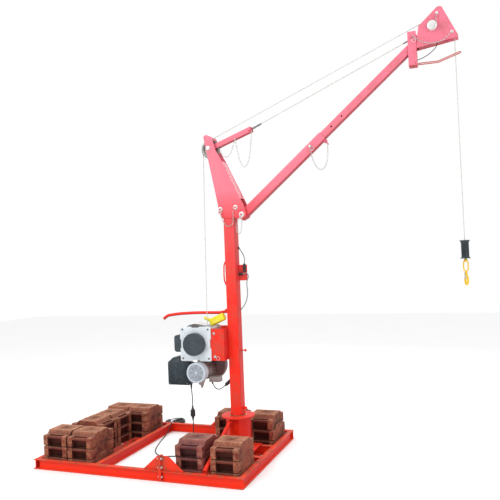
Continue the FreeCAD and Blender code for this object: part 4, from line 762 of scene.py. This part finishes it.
weights = {"nodes": ("weights_left_front", "weights_left_middle", "weights_left_rear", "weights_right_front",
                     "weights_right_rear"), "round": 0.0055, "wineFrom": -0.40, "wineTo": -0.03}


def makeSteelwork():
    for node, (look, width) in steelwork.items():
        softened(node, look, width, 2 if width > 0.0009 else 1)
    for node in weights["nodes"]:
        piece = softened(node, "rustIron", weights["round"], 3)
        # painted shade in the weights' gaps and recesses
        addPaintedCreviceShade(piece)
        piece.data.materials.append(finishes["wineIron"])
        for face in piece.data.polygons:
            if node == "weights_right_front" and weights["wineFrom"] < face.center.x < weights["wineTo"]:
                face.material_index = 1


# small fittings
def makeFittings():
    plateX, plateZ = -0.316, 1.012
    spots = [(plateX + sx * 0.123, -0.1502, plateZ + sz * 0.126) for sx in (-1, 1) for sz in (-1, 1)]
    screwHeads("plateNuts", spots, (0, -1, 0), 0.0062, "mast", "stayEnd")
    rear = [(spot[0], 0.0722, spot[2]) for spot in spots[:2]]
    screwHeads("plateNutsRear", rear, (0, 1, 0), 0.009, "mast")
    ring = [(plateX + 0.080 * math.cos(math.radians(a)), -0.2052, plateZ + 0.080 * math.sin(math.radians(a)))
            for a in (45, 135, 225, 315)]
    screwHeads("coverScrews", ring, (0, -1, 0), 0.0042, "mast", "blackCover")
    hub = [(0.0, 0.0), (0.030, 0.0), (0.030, 0.003), (0.024, 0.006), (0.010, 0.007), (0.0, 0.007)]
    turnedPiece("coverHub", hub, (plateX, -0.2048, plateZ), (0, -1, 0), "mast", "blackCover")
    lid = [(-0.585, -0.1424, 0.662), (-0.585, -0.1424, 0.835), (-0.412, -0.1424, 0.662), (-0.490, -0.1424, 0.875)]
    screwHeads("boxScrews", lid, (0, -1, 0), 0.004, "mast", "stayEnd")
    gear = [(-0.272 + 0.118 * math.cos(math.radians(a)), 0.1352, 0.798 + 0.118 * math.sin(math.radians(a)))
            for a in range(180, 361, 36)]
    gear += [(-0.316 + 0.106 * math.cos(math.radians(a)), 0.1352, 1.012 + 0.106 * math.sin(math.radians(a)))
             for a in range(20, 161, 35)]
    screwHeads("gearScrews", gear, (0, 1, 0), 0.006, "mast")
    dark = [(0.0, 0.0), (0.0095, 0.0), (0.0095, 0.003), (0.007, 0.006), (0.0, 0.0065)]
    for name, (x, z), depth in (("pinCapA", (-0.068, 2.178), 0.0719), ("pinCapB", (0.074, 2.186), 0.0719),
                                ("pinCapC", (0.130, 2.120), 0.0751)):
        turnedPiece(name, dark, (x, -depth, z), (0, -1, 0), "mast", "redPaint")
    makeGrille()
    makeWelds()
    makeChains()
    makeClips()


grille = {"place": (-0.300, -0.1955, 0.768), "first": 0.0145, "last": 0.0850, "step": 0.0047, "wire": 0.0011}


def makeGrille():
    x, y, z = grille["place"]
    bm = bmesh.new()
    count = int((grille["last"] - grille["first"]) / grille["step"])
    for i in range(count + 1):
        radius = grille["first"] + grille["step"] * i
        made = bmesh.ops.create_circle(bm, segments=6, radius=grille["wire"])["verts"]
        bmesh.ops.transform(bm, matrix=Matrix.Translation((x + radius, y, z)), verts=made)
        edges = list({e for v in made for e in v.link_edges})
        bmesh.ops.spin(bm, geom=made + edges, cent=(x, y, z), axis=(0, 1, 0), angle=2 * math.pi, steps=48,
                       use_merge=True)
    bmesh.ops.remove_doubles(bm, verts=bm.verts, dist=making["mergeGap"])
    bmesh.ops.recalc_face_normals(bm, faces=bm.faces)
    finishPiece("grilleWires", bm, "mast", "fanShell")


def makeWelds():
    spine = -0.034
    for side, end in ((-1, "Front"), (1, "Rear")):
        y = side * 0.654
        weldBead("gussetWeld" + end,
                 [(-0.555, y - 0.0045, 0.0815), (-0.428, y - 0.0045, 0.0815), (-0.4285, y - 0.0045, 0.195)], "base",
                 look="redFrame")
        weldBead("gussetWeldLong" + end,
                 [(-0.215, y - 0.0045, 0.0815), (-0.402, y - 0.0045, 0.0815), (-0.4015, y - 0.0045, 0.195)], "base",
                 look="redFrame")
        weldBead("shoeWeld" + end,
                 [(spine - 0.022, side * 0.631, 0.087), (spine + 0.022, side * 0.631, 0.087)], "base", look="redFrame")
    across = 0.100 / math.cos(math.pi / 8)  # corner radius of the eight-sided socket
    corners = [(across * math.cos(math.pi / 8 + i * math.pi / 4), across * math.sin(math.pi / 8 + i * math.pi / 4))
               for i in range(9)]
    weldBead("socketWeldLow", [(x * 1.012, y * 1.012, 0.0915) for x, y in corners], "base", 0.0032)
    weldBead("socketWeldHigh", [(x * 1.012, y * 1.012, 0.3690) for x, y in corners], "base", 0.0032)
    square = [(0.052, -0.052), (0.052, 0.052), (-0.052, 0.052), (-0.052, -0.052), (0.052, -0.052)]
    weldBead("mastFootWeld", [(x, y, 0.4) for x, y in square], "mast", 0.0030)


def makeChains():
    small = (0.0085, 0.0050, 0.0013)
    chainPiece("linkChainShort", [(-0.059, -0.030, 2.702), (-0.046, -0.030, 2.660), (-0.018, -0.030, 2.634),
                                  (0.022, -0.030, 2.645), (0.052, -0.030, 2.690), (0.084, -0.028, 2.790)],
               "link", small)
    chainPiece("linkChainLong", [(0.084, -0.028, 2.790), (0.100, -0.030, 2.680), (0.126, -0.030, 2.570),
                                 (0.168, -0.030, 2.520), (0.205, -0.030, 2.580), (0.228, -0.030, 2.700),
                                 (0.240, -0.029, 2.840)], "link", small)
    chainPiece("headChain", [(-0.069, -0.072, 2.158), (-0.060, -0.072, 2.100), (-0.030, -0.064, 2.040),
                             (0.010, -0.058, 2.022), (0.044, -0.060, 2.040), (0.052, -0.064, 2.090),
                             (0.054, -0.070, 2.165)], "mast", small)
    chainPiece("pivotChain", [(0.130, -0.078, 2.100), (0.100, -0.074, 2.080), (0.078, -0.066, 2.010),
                              (0.082, -0.062, 1.960), (0.110, -0.062, 1.950), (0.128, -0.066, 2.000),
                              (0.134, -0.074, 2.090)], "mast", small)
    chainPiece("boomHeadChain", [(1.612, -0.056, 3.430), (1.640, -0.056, 3.400), (1.680, -0.050, 3.366),
                                 (1.752, -0.046, 3.340), (1.820, -0.046, 3.344), (1.868, -0.048, 3.366),
                                 (1.910, -0.052, 3.404)], "boom_inner", small)
    chainPiece("screwChain", [(1.807, -0.050, 3.570), (1.802, -0.056, 3.530), (1.792, -0.066, 3.480),
                              (1.774, -0.066, 3.440)], "boom_inner", small)
    chainPiece("lockPinChain", [(0.764, -0.062, 2.622), (0.772, -0.060, 2.556), (0.800, -0.054, 2.474),
                                (0.842, -0.048, 2.436), (0.880, -0.040, 2.462), (0.902, -0.030, 2.545),
                                (0.901, -0.018, 2.655)], "boom", small)


clips = {"places": (("headClip", (-0.069, -0.074, 2.150), "mast"), ("pivotClip", (0.130, -0.079, 2.104), "mast"),
                    ("bracketClip", (1.625, -0.056, 3.386), "boom_inner")), "ring": 0.015, "wire": 0.0016}


def makeClips():
    upright = Matrix.Rotation(math.pi / 2, 4, "X")
    for name, base, body in clips["places"]:
        bm = bmesh.new()
        made = bmesh.ops.create_circle(bm, segments=10, radius=clips["wire"])["verts"]
        bmesh.ops.transform(bm, matrix=Matrix.Translation((clips["ring"], 0, 0)) @ upright, verts=made)
        edges = list({e for v in made for e in v.link_edges})
        bmesh.ops.spin(bm, geom=made + edges, cent=(0, 0, 0), axis=(0, 0, 1), angle=2 * math.pi, steps=28,
                       use_merge=True)
        bmesh.ops.remove_doubles(bm, verts=bm.verts, dist=making["mergeGap"])
        bmesh.ops.recalc_face_normals(bm, faces=bm.faces)
        bmesh.ops.transform(bm, matrix=Matrix.Translation(base) @ upright, verts=bm.verts)
        finishPiece(name, bm, body, "brightWasher")


# floor
def makeFloor():
    bm = bmesh.new()
    bmesh.ops.create_grid(bm, x_segments=1, y_segments=1, size=14)
    mesh = bpy.data.meshes.new("floor")
    bm.to_mesh(mesh)
    bm.free()
    floor = bpy.data.objects.new("floor", mesh)
    scene.collection.objects.link(floor)
    material = bpy.data.materials.new("floorPaint")
    material.use_nodes = True
    tree = material.node_tree
    shader = tree.nodes["Principled BSDF"]
    place = put(tree, "ShaderNodeTexCoord")
    tone = mapRange(tree, noiseNode(tree, place.outputs["Object"], 1.2), 0.2, 0.8)
    joined(tree, mixColour(tree, tone, (0.97, 0.97, 0.97, 1), (0.99, 0.99, 0.99, 1)), shader.inputs["Base Color"])
    shader.inputs["Roughness"].default_value = 0.9
    shader.inputs["Specular IOR Level"].default_value = 0.1
    mesh.materials.append(material)


setCamera()
setLights()
makeFloor()
for lookName in looks:
    makeFinish(lookName)
print("camera, light and finishes ready")
makeSupplyLead()
makeHeldLeads()
makeRopes()
print("leads and ropes done")
makeSteelwork()
print("steelwork done")
makeFittings()
print("fittings done")
